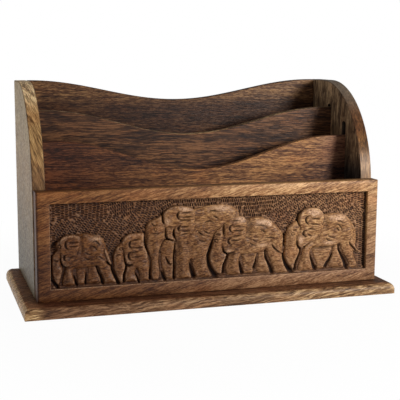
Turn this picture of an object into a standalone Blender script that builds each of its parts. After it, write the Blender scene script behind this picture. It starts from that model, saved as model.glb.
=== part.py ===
"""A desk letter rack of carved hardwood: a moulded base board carries two side boards with
quarter-round tops, a back board and two dividers with scooped tops, and a front board with
a frieze of five elephants in relief. Three slots between the boards hold letters.
Everything is in metres. X runs along the rack, Y from the front to the back, Z up, and the
origin is at the middle of the base board's underside."""

import math

import bmesh
import bpy
from mathutils import Matrix, Vector

# The body, measured over the outer faces of its sides. The front board stops just short of them.
BODY_WIDTH = 0.3056
BODY_DEPTH = 0.132
SIDE_HEIGHT = 0.177
SIDE_THICKNESS = 0.0108
SIDE_FLAT_TOP = 0.0306
SIDE_ARC_DROP = 0.0942
BACK_THICKNESS = 0.009
FRONT_THICKNESS = 0.014
FRONT_HEIGHT = 0.0915
FRONT_END_SETBACK = 0.0008

# The dividers, counted from the front, and the letter slots in front of them
DIVIDER_THICKNESS = 0.008
FRONT_SLOT = 0.0345
MIDDLE_SLOT = 0.025
FRONT_DIVIDER_HEIGHT = 0.1275
MIDDLE_DIVIDER_HEIGHT = 0.152
HOUSING_DEPTH = 0.004
FRONT_HOUSING_OVERRUN = 0.013
MIDDLE_HOUSING_OVERRUN = 0.003

# The scooped tops: how deep each scoop is, and how far the flat at each end runs
BACK_SCOOP = 0.0185
MIDDLE_SCOOP = 0.023
FRONT_SCOOP = 0.0275
BACK_SCOOP_FLAT = 0.003
MIDDLE_SCOOP_FLAT = 0.008
FRONT_SCOOP_FLAT = 0.0135

# The base board, which stands out past the body on all sides
BASE_THICKNESS = 0.010
BASE_END_OVERHANG = 0.0117
BASE_FRONT_OVERHANG = 0.015
BASE_BACK_OVERHANG = 0.002
BASE_NOSE_RADIUS = 0.006

# The carved recess in the front board, which was cut a little off centre, and the relief that
# stands in it. The last elephant stops short of the recess's right end.
RECESS_LEFT_BORDER = 0.011
RECESS_RIGHT_BORDER = 0.0093
RECESS_TOP_BORDER = 0.0099
RECESS_BOTTOM_BORDER = 0.0104
RECESS_DEPTH = 0.0055
FRIEZE_END_GAP = 0.0017
CARVING_ROOT = 0.0015
CARVING_ROUNDING = 0.0008

# Wood screws that come up through the base
SCREW_LENGTH = 0.024
SCREW_RADIUS = 0.00175
SCREW_HEAD_RADIUS = 0.0035
SCREW_HEAD_RIM = 0.0004
SCREW_HEAD_CONE = 0.0022
SCREW_POINT = 0.004
SCREW_SINK = 0.0005
CROSS_WIDTH = 0.0009
CROSS_LENGTH = 0.0038
CROSS_DEPTH = 0.0016
BACK_SCREW_INSET = 0.060

# Dowels between the sides and the boards across them
DOWEL_RADIUS = 0.0025
DOWEL_LENGTH = 0.020
DOWEL_IN_FRONT = 0.008
DOWEL_IN_SIDE = 0.006
DOWEL_CHAMFER = 0.0005

# Fits and finish
GLUE_GAP = 0.0003
EDGE_EASE = 0.0006
CUT_OVERRUN = 0.002
WELD_DISTANCE = 0.00001

# Counts of flats on curved work
ARC_STEPS = 20
SCOOP_STEPS = 28
ROUND_STEPS = 16
NOSE_STEPS = 4
HOUSING_END_STEPS = 6
CARVING_STEPS = 2
SHARP_ANGLE = math.radians(35)

# Places worked out from the sizes above
BASE_WIDTH = BODY_WIDTH + 2 * BASE_END_OVERHANG
BASE_DEPTH = BASE_FRONT_OVERHANG + BODY_DEPTH + BASE_BACK_OVERHANG
FACE_Y = BASE_FRONT_OVERHANG - BASE_DEPTH / 2
REAR_Y = FACE_Y + BODY_DEPTH
STAND_Z = BASE_THICKNESS + GLUE_GAP
INNER_HALF = BODY_WIDTH / 2 - SIDE_THICKNESS
SIDE_MIDDLE_X = BODY_WIDTH / 2 - SIDE_THICKNESS / 2
PANEL_BACK_Y = FACE_Y + FRONT_THICKNESS
FRONT_DIVIDER_Y = PANEL_BACK_Y + FRONT_SLOT
MIDDLE_DIVIDER_Y = FRONT_DIVIDER_Y + DIVIDER_THICKNESS + MIDDLE_SLOT
BACK_FACE_Y = REAR_Y - BACK_THICKNESS
BACK_MIDDLE_Y = REAR_Y - BACK_THICKNESS / 2
FRONT_WIDTH = BODY_WIDTH - 2 * FRONT_END_SETBACK
RECESS_LENGTH = FRONT_WIDTH - RECESS_LEFT_BORDER - RECESS_RIGHT_BORDER
RECESS_HEIGHT = FRONT_HEIGHT - RECESS_TOP_BORDER - RECESS_BOTTOM_BORDER
RECESS_LEFT_X = RECESS_LEFT_BORDER - FRONT_WIDTH / 2
FRIEZE_LENGTH = RECESS_LENGTH - FRIEZE_END_GAP
RECESS_BOTTOM_Z = STAND_Z + RECESS_BOTTOM_BORDER
RECESS_FLOOR_Y = FACE_Y + RECESS_DEPTH

# How high each layer of the relief stands, as a share of the recess's depth
LAYER_HEIGHT_shares = {"far": 0.42, "body": 0.68, "tail": 0.80, "face": 0.82, "tusk": 0.88, "ear": 0.95}
NEIGHBOUR_STEP_share = 0.006
DOWEL_HEIGHT_shares = (0.27, 0.76)

# The elephants from left to right, each walking to the left. A point is a share of the frieze's
# length from the recess's left end, and of the recess's height from its bottom.
LEFT_ELEPHANT_shares = [
    ("far", [(0.078, 0.26), (0.077, 0.18), (0.079, 0.10), (0.082, 0.05), (0.101, 0.05),
             (0.102, 0.12), (0.103, 0.19), (0.104, 0.26)]),
    ("far", [(0.112, 0.26), (0.112, 0.18), (0.110, 0.10), (0.111, 0.05), (0.148, 0.05),
             (0.145, 0.11), (0.138, 0.18), (0.132, 0.26)]),
    ("body", [(0.075, 0.60), (0.090, 0.625), (0.105, 0.638), (0.120, 0.625), (0.135, 0.60),
              (0.148, 0.585), (0.157, 0.555), (0.163, 0.50), (0.168, 0.44), (0.173, 0.38),
              (0.177, 0.32), (0.178, 0.255), (0.179, 0.19), (0.185, 0.14), (0.192, 0.08),
              (0.195, 0.03), (0.162, 0.025), (0.159, 0.07), (0.154, 0.12), (0.147, 0.18),
              (0.139, 0.24), (0.115, 0.235), (0.095, 0.225), (0.072, 0.225), (0.065, 0.19),
              (0.065, 0.14), (0.069, 0.09), (0.072, 0.04), (0.066, 0.025), (0.040, 0.025),
              (0.035, 0.06), (0.037, 0.12), (0.041, 0.18), (0.045, 0.26), (0.055, 0.40)]),
    ("tail", [(0.154, 0.43), (0.162, 0.45), (0.168, 0.39), (0.172, 0.33), (0.181, 0.29),
              (0.184, 0.25), (0.176, 0.22), (0.166, 0.25), (0.159, 0.33)]),
    ("face", [(0.030, 0.575), (0.023, 0.55), (0.019, 0.50), (0.021, 0.455), (0.014, 0.425),
              (0.007, 0.38), (0.005, 0.31), (0.005, 0.22), (0.008, 0.145), (0.014, 0.085),
              (0.022, 0.045), (0.027, 0.08), (0.030, 0.13), (0.034, 0.185), (0.036, 0.235),
              (0.033, 0.28), (0.030, 0.33), (0.034, 0.40), (0.044, 0.48), (0.044, 0.56)]),
    ("ear", [(0.029, 0.50), (0.029, 0.56), (0.035, 0.60), (0.047, 0.62), (0.062, 0.627),
             (0.077, 0.62), (0.087, 0.60), (0.087, 0.55), (0.086, 0.50), (0.083, 0.455),
             (0.078, 0.41), (0.074, 0.37), (0.068, 0.325), (0.060, 0.285), (0.050, 0.26),
             (0.041, 0.265), (0.034, 0.30), (0.031, 0.35), (0.030, 0.42)]),
]
CALF_shares = [
    ("body", [(0.228, 0.32), (0.226, 0.22), (0.223, 0.14), (0.221, 0.06), (0.224, 0.03),
              (0.257, 0.03), (0.256, 0.08), (0.251, 0.13), (0.255, 0.18), (0.262, 0.15),
              (0.266, 0.09), (0.268, 0.03), (0.295, 0.03), (0.295, 0.10), (0.296, 0.18),
              (0.295, 0.27), (0.280, 0.36)]),
    ("face", [(0.213, 0.52), (0.206, 0.49), (0.198, 0.455), (0.192, 0.41), (0.188, 0.36),
              (0.187, 0.30), (0.187, 0.24), (0.190, 0.18), (0.196, 0.12), (0.202, 0.06),
              (0.207, 0.025), (0.216, 0.03), (0.218, 0.08), (0.219, 0.14), (0.222, 0.19),
              (0.223, 0.24), (0.221, 0.29), (0.219, 0.34), (0.222, 0.40), (0.228, 0.46),
              (0.226, 0.53)]),
    ("ear", [(0.217, 0.40), (0.214, 0.45), (0.213, 0.50), (0.216, 0.545), (0.223, 0.58),
             (0.236, 0.602), (0.252, 0.61), (0.268, 0.61), (0.278, 0.60), (0.278, 0.54),
             (0.278, 0.48), (0.282, 0.43), (0.287, 0.38), (0.290, 0.33), (0.287, 0.30),
             (0.276, 0.287), (0.262, 0.272), (0.250, 0.255), (0.238, 0.24), (0.229, 0.245),
             (0.223, 0.28), (0.220, 0.33)]),
]
LEADER_shares = [
    ("far", [(0.338, 0.50), (0.333, 0.42), (0.332, 0.32), (0.333, 0.22), (0.338, 0.13),
             (0.346, 0.05), (0.352, 0.03), (0.370, 0.03), (0.371, 0.12), (0.371, 0.25),
             (0.374, 0.40), (0.384, 0.50)]),
    ("body", [(0.420, 0.84), (0.436, 0.865), (0.452, 0.872), (0.466, 0.886), (0.485, 0.903),
              (0.510, 0.912), (0.534, 0.905), (0.553, 0.88), (0.566, 0.845), (0.578, 0.79),
              (0.575, 0.70), (0.540, 0.60), (0.505, 0.55), (0.493, 0.47), (0.487, 0.39),
              (0.479, 0.31), (0.478, 0.23), (0.483, 0.16), (0.490, 0.10), (0.497, 0.055),
              (0.494, 0.025), (0.448, 0.025), (0.441, 0.06), (0.436, 0.12), (0.430, 0.18),
              (0.425, 0.25), (0.420, 0.20), (0.420, 0.13), (0.425, 0.06), (0.421, 0.025),
              (0.383, 0.025), (0.377, 0.07), (0.377, 0.15), (0.378, 0.25), (0.377, 0.36),
              (0.376, 0.45), (0.382, 0.56)]),
    ("face", [(0.337, 0.81), (0.327, 0.795), (0.315, 0.77), (0.300, 0.745), (0.290, 0.705),
              (0.285, 0.65), (0.283, 0.59), (0.283, 0.52), (0.287, 0.45), (0.292, 0.39),
              (0.297, 0.33), (0.301, 0.27), (0.302, 0.18), (0.302, 0.10), (0.306, 0.035),
              (0.320, 0.03), (0.326, 0.07), (0.326, 0.15), (0.324, 0.22), (0.324, 0.29),
              (0.325, 0.36), (0.329, 0.42), (0.335, 0.47), (0.342, 0.51), (0.352, 0.53),
              (0.360, 0.66), (0.350, 0.80)]),
    ("tusk", [(0.346, 0.66), (0.346, 0.60), (0.349, 0.545), (0.356, 0.515), (0.366, 0.498),
              (0.376, 0.495), (0.374, 0.54), (0.371, 0.59), (0.370, 0.66)]),
    ("ear", [(0.342, 0.66), (0.339, 0.71), (0.337, 0.76), (0.338, 0.81), (0.343, 0.85),
             (0.352, 0.883), (0.366, 0.905), (0.384, 0.914), (0.402, 0.908), (0.419, 0.888),
             (0.432, 0.865), (0.435, 0.80), (0.437, 0.73), (0.436, 0.66), (0.431, 0.605),
             (0.421, 0.56), (0.409, 0.525), (0.395, 0.498), (0.384, 0.485), (0.377, 0.51),
             (0.373, 0.57), (0.369, 0.64), (0.355, 0.67)]),
]
FOLLOWER_shares = [
    ("far", [(0.588, 0.33), (0.590, 0.22), (0.594, 0.13), (0.596, 0.05), (0.624, 0.05),
             (0.628, 0.13), (0.634, 0.22), (0.636, 0.33)]),
    ("far", [(0.645, 0.33), (0.643, 0.22), (0.639, 0.13), (0.641, 0.05), (0.682, 0.05),
             (0.678, 0.12), (0.668, 0.20), (0.663, 0.33)]),
    ("body", [(0.585, 0.68), (0.610, 0.715), (0.635, 0.73), (0.657, 0.722), (0.676, 0.695),
              (0.690, 0.65), (0.702, 0.605), (0.713, 0.56), (0.722, 0.515), (0.725, 0.44),
              (0.723, 0.36), (0.721, 0.27), (0.724, 0.19), (0.730, 0.12), (0.738, 0.06),
              (0.740, 0.02), (0.698, 0.02), (0.694, 0.08), (0.688, 0.13), (0.680, 0.20),
              (0.673, 0.26), (0.667, 0.315), (0.655, 0.29), (0.630, 0.28), (0.605, 0.28),
              (0.588, 0.275), (0.580, 0.23), (0.578, 0.17), (0.581, 0.10), (0.585, 0.045),
              (0.580, 0.03), (0.545, 0.03), (0.537, 0.07), (0.537, 0.14), (0.541, 0.21),
              (0.546, 0.28), (0.555, 0.33), (0.570, 0.45)]),
    ("tail", [(0.688, 0.41), (0.700, 0.36), (0.712, 0.32), (0.726, 0.29), (0.724, 0.245),
              (0.708, 0.255), (0.695, 0.295), (0.683, 0.35), (0.678, 0.40)]),
    ("face", [(0.529, 0.675), (0.518, 0.64), (0.506, 0.61), (0.499, 0.57), (0.495, 0.50),
              (0.494, 0.42), (0.488, 0.34), (0.484, 0.28), (0.485, 0.20), (0.491, 0.13),
              (0.500, 0.085), (0.512, 0.055), (0.525, 0.055), (0.528, 0.10), (0.529, 0.16),
              (0.535, 0.23), (0.539, 0.28), (0.533, 0.31), (0.527, 0.345), (0.526, 0.40),
              (0.532, 0.45), (0.545, 0.50), (0.548, 0.60), (0.538, 0.67)]),
    ("ear", [(0.524, 0.45), (0.523, 0.395), (0.527, 0.345), (0.536, 0.315), (0.550, 0.308),
             (0.562, 0.325), (0.573, 0.365), (0.586, 0.40), (0.596, 0.455), (0.601, 0.52),
             (0.603, 0.60), (0.602, 0.68), (0.597, 0.73), (0.586, 0.757), (0.570, 0.758),
             (0.554, 0.742), (0.541, 0.712), (0.533, 0.67), (0.530, 0.61), (0.531, 0.55),
             (0.528, 0.50)]),
]
RIGHT_ELEPHANT_shares = [
    ("far", [(0.825, 0.33), (0.828, 0.22), (0.838, 0.12), (0.843, 0.045), (0.866, 0.045),
             (0.872, 0.11), (0.884, 0.21), (0.888, 0.33)]),
    ("far", [(0.898, 0.33), (0.892, 0.22), (0.885, 0.12), (0.885, 0.045), (0.930, 0.04),
             (0.932, 0.11), (0.920, 0.20), (0.912, 0.33)]),
    ("body", [(0.840, 0.70), (0.865, 0.725), (0.890, 0.735), (0.915, 0.725), (0.937, 0.69),
              (0.950, 0.635), (0.963, 0.57), (0.971, 0.49), (0.975, 0.41), (0.972, 0.33),
              (0.966, 0.26), (0.968, 0.17), (0.976, 0.10), (0.980, 0.045), (0.974, 0.02),
              (0.952, 0.02), (0.951, 0.08), (0.944, 0.14), (0.931, 0.21), (0.923, 0.28),
              (0.918, 0.335), (0.905, 0.32), (0.880, 0.30), (0.850, 0.295), (0.825, 0.30),
              (0.815, 0.26), (0.815, 0.19), (0.820, 0.12), (0.826, 0.05), (0.820, 0.025),
              (0.782, 0.025), (0.776, 0.06), (0.779, 0.13), (0.786, 0.20), (0.791, 0.28),
              (0.800, 0.34), (0.830, 0.45)]),
    ("tail", [(0.955, 0.42), (0.966, 0.34), (0.978, 0.275), (0.990, 0.24), (0.987, 0.195),
              (0.972, 0.205), (0.958, 0.26), (0.946, 0.35)]),
    ("face", [(0.766, 0.655), (0.752, 0.625), (0.739, 0.575), (0.733, 0.50), (0.732, 0.42),
              (0.731, 0.33), (0.729, 0.26), (0.733, 0.18), (0.743, 0.10), (0.752, 0.045),
              (0.759, 0.03), (0.763, 0.06), (0.765, 0.12), (0.771, 0.19), (0.778, 0.25),
              (0.779, 0.295), (0.774, 0.33), (0.771, 0.38), (0.775, 0.44), (0.787, 0.49),
              (0.792, 0.60), (0.778, 0.65)]),
    ("ear", [(0.769, 0.44), (0.769, 0.38), (0.775, 0.335), (0.787, 0.325), (0.797, 0.35),
             (0.808, 0.375), (0.823, 0.395), (0.837, 0.435), (0.849, 0.49), (0.857, 0.56),
             (0.861, 0.63), (0.859, 0.71), (0.852, 0.765), (0.842, 0.80), (0.825, 0.815),
             (0.806, 0.812), (0.790, 0.79), (0.780, 0.75), (0.774, 0.70), (0.774, 0.64),
             (0.779, 0.58), (0.776, 0.51)]),
]


def clear_scene():
    for item in list(bpy.data.objects):
        bpy.data.objects.remove(item, do_unlink=True)


def new_collection(name):
    group = bpy.data.collections.new(name)
    bpy.context.scene.collection.children.link(group)
    return group


def material(name, colour, roughness, metallic=0.0):
    """A plain Principled surface of one colour."""
    made = bpy.data.materials.new(name)
    made.use_nodes = True
    shader = made.node_tree.nodes["Principled BSDF"]
    shader.inputs["Base Color"].default_value = (*colour, 1.0)
    shader.inputs["Roughness"].default_value = roughness
    shader.inputs["Metallic"].default_value = metallic
    return made


def add_object(name, mesh, group, matrix=None):
    item = bpy.data.objects.new(name, mesh)
    group.objects.link(item)
    if matrix is not None:
        item.matrix_world = matrix
    return item


def hide_cutter(item):
    item.hide_render = True
    item.display_type = "WIRE"
    return item


def solid_from(item, group):
    """Turns an object with its modifiers, or a curve with its loose caps, into one welded mesh."""
    bpy.context.view_layer.update()
    graph = bpy.context.evaluated_depsgraph_get()
    mesh = bpy.data.meshes.new_from_object(item.evaluated_get(graph))
    work = bmesh.new()
    work.from_mesh(mesh)
    bmesh.ops.remove_doubles(work, verts=work.verts, dist=WELD_DISTANCE)
    bmesh.ops.recalc_face_normals(work, faces=work.faces)
    work.to_mesh(mesh)
    work.free()
    name = item.name
    matrix = item.matrix_world.copy()
    bpy.data.objects.remove(item, do_unlink=True)
    return add_object(name, mesh, group, matrix)


def flat_outline(name, points, thickness, ease, matrix, group, smooth_steps=0):
    """A flat board cut to an outline, its edges rounded over by ease. With smooth_steps the
    outline curves through its points, and without them it has straight runs."""
    curve = bpy.data.curves.new(name, "CURVE")
    curve.dimensions = "2D"
    curve.fill_mode = "BOTH"
    curve.extrude = thickness / 2 - ease
    curve.bevel_depth = ease
    curve.bevel_resolution = 0
    curve.offset = -ease
    if smooth_steps:
        curve.resolution_u = smooth_steps
        spline = curve.splines.new("BEZIER")
        spline.bezier_points.add(len(points) - 1)
        for knot, (x, y) in zip(spline.bezier_points, points):
            knot.co = (x, y, 0)
            knot.handle_left_type = "AUTO"
            knot.handle_right_type = "AUTO"
    else:
        spline = curve.splines.new("POLY")
        spline.points.add(len(points) - 1)
        for knot, (x, y) in zip(spline.points, points):
            knot.co = (x, y, 0, 1)
    spline.use_cyclic_u = True
    item = bpy.data.objects.new(name, curve)
    group.objects.link(item)
    item.matrix_world = matrix
    return solid_from(item, group)


def facing_front(y):
    """The plane of a board across the rack: its own X and Y are the rack's X and Z."""
    return Matrix.Translation((0, y, 0)) @ Matrix.Rotation(math.pi / 2, 4, "X")


def facing_side(x):
    """The plane of a side board: its own X and Y are the rack's Y and Z."""
    turn = Matrix(((0, 0, 1, 0), (1, 0, 0, 0), (0, 1, 0, 0), (0, 0, 0, 1)))
    return Matrix.Translation((x, 0, 0)) @ turn


def box(name, size, centre, group):
    mesh = bpy.data.meshes.new(name)
    work = bmesh.new()
    bmesh.ops.create_cube(work, size=1)
    bmesh.ops.scale(work, vec=Vector(size), verts=work.verts)
    work.to_mesh(mesh)
    work.free()
    return add_object(name, mesh, group, Matrix.Translation(centre))


def turned(name, profile, group, matrix=None):
    """A shape turned about Z from a profile that runs down its outer side."""
    mesh = bpy.data.meshes.new(name)
    work = bmesh.new()
    corners = [work.verts.new((radius, 0, height)) for radius, height in profile]
    for upper, lower in zip(corners, corners[1:]):
        work.edges.new((upper, lower))
    work.to_mesh(mesh)
    work.free()
    item = add_object(name, mesh, group, matrix)
    spin = item.modifiers.new("Turn", "SCREW")
    spin.angle = 2 * math.pi
    spin.steps = ROUND_STEPS
    spin.render_steps = ROUND_STEPS
    spin.use_merge_vertices = True
    spin.merge_threshold = WELD_DISTANCE
    return solid_from(item, group)


def boolean(item, operation, other, overlapping=False):
    step = item.modifiers.new(operation.title(), "BOOLEAN")
    step.operation = operation
    step.object = other
    step.solver = "EXACT"
    step.use_self = overlapping


def joined(name, items, group):
    """One mesh that holds the faces of several objects, which it replaces."""
    mesh = bpy.data.meshes.new(name)
    work = bmesh.new()
    for item in items:
        first = len(work.verts)
        work.from_mesh(item.data)
        work.verts.ensure_lookup_table()
        bmesh.ops.transform(work, matrix=item.matrix_world, verts=work.verts[first:])
    work.to_mesh(mesh)
    work.free()
    for item in items:
        bpy.data.objects.remove(item, do_unlink=True)
    return add_object(name, mesh, group)


def scoop_points(half_length, height, scoop, flat):
    """The scooped top edge from right to left: one cosine wave between two short flats."""
    reach = half_length - flat
    points = [(half_length, height)]
    for step in range(SCOOP_STEPS + 1):
        along = reach * (1 - 2 * step / SCOOP_STEPS)
        depth = scoop * (1 + math.cos(math.pi * along / reach)) / 2
        points.append((along, height - depth))
    points.append((-half_length, height))
    return points


def scooped_board(name, front_y, thickness, half_length, height, scoop, flat, group):
    top = scoop_points(half_length, BASE_THICKNESS + height, scoop, flat)
    outline = [(-half_length, STAND_Z), (half_length, STAND_Z)] + top
    return flat_outline(name, outline, thickness, EDGE_EASE, facing_front(front_y + thickness / 2), group)


def side_outline():
    """The side board: upright at the back, flat on top, then a quarter of an ellipse down to
    the upright front edge behind the front board."""
    front = PANEL_BACK_Y + GLUE_GAP
    top = BASE_THICKNESS + SIDE_HEIGHT
    arc_y = REAR_Y - SIDE_FLAT_TOP
    points = [(REAR_Y, STAND_Z), (REAR_Y, top)]
    for step in range(ARC_STEPS + 1):
        turn = math.pi / 2 * step / ARC_STEPS
        y = arc_y - (arc_y - front) * math.sin(turn)
        z = top - SIDE_ARC_DROP * (1 - math.cos(turn))
        points.append((y, z))
    points.append((front, STAND_Z))
    return points


def housing_cutter(name, side_sign, front_y, height, overrun, group):
    """The stopped groove in a side board that takes a divider's end. Its top end is round."""
    radius = DIVIDER_THICKNESS / 2 + GLUE_GAP
    middle = front_y + DIVIDER_THICKNESS / 2
    end = BASE_THICKNESS + height + overrun - radius
    points = [(middle - radius, -CUT_OVERRUN), (middle + radius, -CUT_OVERRUN)]
    for step in range(HOUSING_END_STEPS + 1):
        turn = math.pi * step / HOUSING_END_STEPS
        points.append((middle + radius * math.cos(turn), end + radius * math.sin(turn)))
    thickness = HOUSING_DEPTH + CUT_OVERRUN
    x = side_sign * (INNER_HALF + HOUSING_DEPTH - thickness / 2)
    cutter = flat_outline(name, points, thickness, 0, facing_side(x), group)
    return hide_cutter(cutter)


def screw_profile(extra):
    """Half the outline of an upward-pointing countersunk wood screw, from its tip down. The
    hole for it is the same shape grown by extra."""
    radius = SCREW_RADIUS + extra
    head = SCREW_HEAD_RADIUS + extra
    tip = SCREW_LENGTH + extra
    cone_top = SCREW_HEAD_RIM + SCREW_HEAD_CONE + extra
    profile = [(0, tip), (radius, tip - SCREW_POINT), (radius, cone_top), (head, SCREW_HEAD_RIM + extra)]
    floor = -CUT_OVERRUN if extra else 0
    return profile + [(head, floor), (0, floor)]


def screw_mesh(group, cutters):
    """One screw with its cross recess, which every screw of the rack shares."""
    blank = turned("screw_blank", screw_profile(0), group)
    for name, size in (
        ("cross_slot_long", (CROSS_LENGTH, CROSS_WIDTH, 2 * CROSS_DEPTH)),
        ("cross_slot_wide", (CROSS_WIDTH, CROSS_LENGTH, 2 * CROSS_DEPTH)),
    ):
        boolean(blank, "DIFFERENCE", hide_cutter(box(name, size, (0, 0, 0), cutters)))
    finished = solid_from(blank, group)
    mesh = finished.data
    bpy.data.objects.remove(finished, do_unlink=True)
    return mesh


def screw_places():
    """Where each base screw stands, and the board that it holds."""
    front_y = (RECESS_FLOOR_Y + PANEL_BACK_Y) / 2
    fore = (PANEL_BACK_Y + FRONT_DIVIDER_Y) / 2
    aft = (MIDDLE_DIVIDER_Y + DIVIDER_THICKNESS + BACK_FACE_Y) / 2
    back_x = INNER_HALF - BACK_SCREW_INSET
    places = [("base_screw_front_middle", 0, front_y, "front_panel")]
    for sign, hand in ((-1, "left"), (1, "right")):
        places.append((f"base_screw_front_{hand}", sign * back_x, front_y, "front_panel"))
        places.append((f"base_screw_back_{hand}", sign * back_x, BACK_MIDDLE_Y, "back_panel"))
        places.append((f"base_screw_{hand}_side_fore", sign * SIDE_MIDDLE_X, fore, f"{hand}_side"))
        places.append((f"base_screw_{hand}_side_aft", sign * SIDE_MIDDLE_X, aft, f"{hand}_side"))
    return places


def dowel_profile(extra):
    radius = DOWEL_RADIUS + extra
    half = DOWEL_LENGTH / 2 + extra
    if extra:
        return [(0, half), (radius, half), (radius, -half), (0, -half)]
    rim = radius - DOWEL_CHAMFER
    return [(0, half), (rim, half), (radius, half - DOWEL_CHAMFER),
            (radius, DOWEL_CHAMFER - half), (rim, -half), (0, -half)]


def dowel_places():
    """Where each dowel lies and which two boards it joins. The front ones lie along Y and the
    back ones along X."""
    places = []
    along_y = Matrix.Rotation(math.pi / 2, 4, "X")
    along_x = Matrix.Rotation(math.pi / 2, 4, "Y")
    front_y = PANEL_BACK_Y - DOWEL_IN_FRONT + DOWEL_LENGTH / 2
    back_x = INNER_HALF + DOWEL_IN_SIDE - DOWEL_LENGTH / 2
    for sign, hand in ((-1, "left"), (1, "right")):
        for share, level in zip(DOWEL_HEIGHT_shares, ("lower", "upper")):
            place = Matrix.Translation((sign * SIDE_MIDDLE_X, front_y, STAND_Z + share * FRONT_HEIGHT))
            places.append((f"front_dowel_{hand}_{level}", place @ along_y, ("front_panel", f"{hand}_side")))
            place = Matrix.Translation((sign * back_x, BACK_MIDDLE_Y, STAND_Z + share * SIDE_HEIGHT))
            places.append((f"back_dowel_{hand}_{level}", place @ along_x, ("back_panel", f"{hand}_side")))
    return places


def make_base(group):
    """The base board, rounded over along its top front edge and its two top end edges."""
    size = (BASE_WIDTH, BASE_DEPTH, BASE_THICKNESS)
    board = box("base_board", size, (0, 0, BASE_THICKNESS / 2), group)
    work = bmesh.new()
    work.from_mesh(board.data)
    rounded = []
    for edge in work.edges:
        middle = (edge.verts[0].co + edge.verts[1].co) / 2
        on_top = middle.z > 0
        at_front = middle.y < 0 and middle.x == 0
        at_end = middle.y == 0 and middle.x != 0
        if on_top and (at_front or at_end):
            rounded.append(edge)
    bmesh.ops.bevel(
        work,
        geom=rounded,
        offset=BASE_NOSE_RADIUS,
        segments=NOSE_STEPS,
        profile=0.5,
        affect="EDGES",
        clamp_overlap=True,
    )
    work.to_mesh(board.data)
    work.free()
    return board


def make_sides(group, cutters):
    sides = []
    for sign, hand in ((-1, "left"), (1, "right")):
        place = facing_side(sign * SIDE_MIDDLE_X)
        side = flat_outline(f"{hand}_side", side_outline(), SIDE_THICKNESS, EDGE_EASE, place, group)
        for label, y, height, overrun in (
            ("front", FRONT_DIVIDER_Y, FRONT_DIVIDER_HEIGHT, FRONT_HOUSING_OVERRUN),
            ("middle", MIDDLE_DIVIDER_Y, MIDDLE_DIVIDER_HEIGHT, MIDDLE_HOUSING_OVERRUN),
        ):
            cutter = housing_cutter(f"{label}_housing_{hand}", sign, y, height, overrun, cutters)
            boolean(side, "DIFFERENCE", cutter)
        sides.append(side)
    return sides


def make_cross_boards(group):
    """The back board between the sides, and the two dividers, whose ends sit in the housings."""
    between = INNER_HALF - GLUE_GAP
    housed = INNER_HALF + HOUSING_DEPTH - GLUE_GAP
    grip = HOUSING_DEPTH
    return [
        scooped_board("back_panel", BACK_FACE_Y, BACK_THICKNESS, between, SIDE_HEIGHT,
                      BACK_SCOOP, BACK_SCOOP_FLAT, group),
        scooped_board("middle_divider", MIDDLE_DIVIDER_Y, DIVIDER_THICKNESS, housed,
                      MIDDLE_DIVIDER_HEIGHT, MIDDLE_SCOOP, MIDDLE_SCOOP_FLAT + grip, group),
        scooped_board("front_divider", FRONT_DIVIDER_Y, DIVIDER_THICKNESS, housed,
                      FRONT_DIVIDER_HEIGHT, FRONT_SCOOP, FRONT_SCOOP_FLAT + grip, group),
    ]


def carved_plate(name, shares, height, group):
    """One layer of the relief: an outline that stands height above the recess's floor."""
    points = [(RECESS_LEFT_X + x * FRIEZE_LENGTH, RECESS_BOTTOM_Z + z * RECESS_HEIGHT) for x, z in shares]
    thickness = height + CARVING_ROOT
    place = facing_front(RECESS_FLOOR_Y + CARVING_ROOT - thickness / 2)
    return flat_outline(name, points, thickness, CARVING_ROUNDING, place, group, CARVING_STEPS)


def carve_elephants(group):
    """The five elephants, each built up in layers: far legs, body, tail, face with trunk, tusk
    and ear. The layers overlap, and each elephant stands a hair higher than the one behind it."""
    herd = (LEFT_ELEPHANT_shares, CALF_shares, LEADER_shares, FOLLOWER_shares, RIGHT_ELEPHANT_shares)
    plates = []
    for rank, elephant in enumerate(herd):
        for layer, (kind, shares) in enumerate(elephant):
            share = LAYER_HEIGHT_shares[kind] + NEIGHBOUR_STEP_share * rank
            plates.append(carved_plate(f"relief_{rank}_{layer}", shares, share * RECESS_DEPTH, group))
    return hide_cutter(joined("elephant_relief", plates, group))


def make_front_panel(group, cutters):
    """The front board, with its recess cut and the elephants standing in it."""
    half = FRONT_WIDTH / 2
    top = BASE_THICKNESS + FRONT_HEIGHT
    outline = [(-half, STAND_Z), (half, STAND_Z), (half, top), (-half, top)]
    place = facing_front(FACE_Y + FRONT_THICKNESS / 2)
    panel = flat_outline("front_panel", outline, FRONT_THICKNESS, EDGE_EASE, place, group)
    deep = RECESS_DEPTH + CUT_OVERRUN
    size = (RECESS_LENGTH, deep, RECESS_HEIGHT)
    centre_x = RECESS_LEFT_X + RECESS_LENGTH / 2
    centre = (centre_x, RECESS_FLOOR_Y - deep / 2, RECESS_BOTTOM_Z + RECESS_HEIGHT / 2)
    boolean(panel, "DIFFERENCE", hide_cutter(box("recess_cutter", size, centre, cutters)))
    boolean(panel, "UNION", carve_elephants(cutters), overlapping=True)
    return panel


def fit_screws(boards, group, cutters, steel):
    """Nine screws, each in a countersunk hole in the base and a pilot hole in its board."""
    mesh = screw_mesh(group, cutters)
    mesh.name = "base_screw"
    mesh.materials.append(steel)
    mesh.shade_smooth()
    mesh.set_sharp_from_angle(angle=SHARP_ANGLE)
    for name, x, y, board in screw_places():
        place = Matrix.Translation((x, y, SCREW_SINK))
        hole = hide_cutter(turned(f"hole_{name}", screw_profile(GLUE_GAP), cutters, place))
        boolean(boards["base_board"], "DIFFERENCE", hole)
        boolean(boards[board], "DIFFERENCE", hole)
        add_object(name, mesh, group, place)


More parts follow.
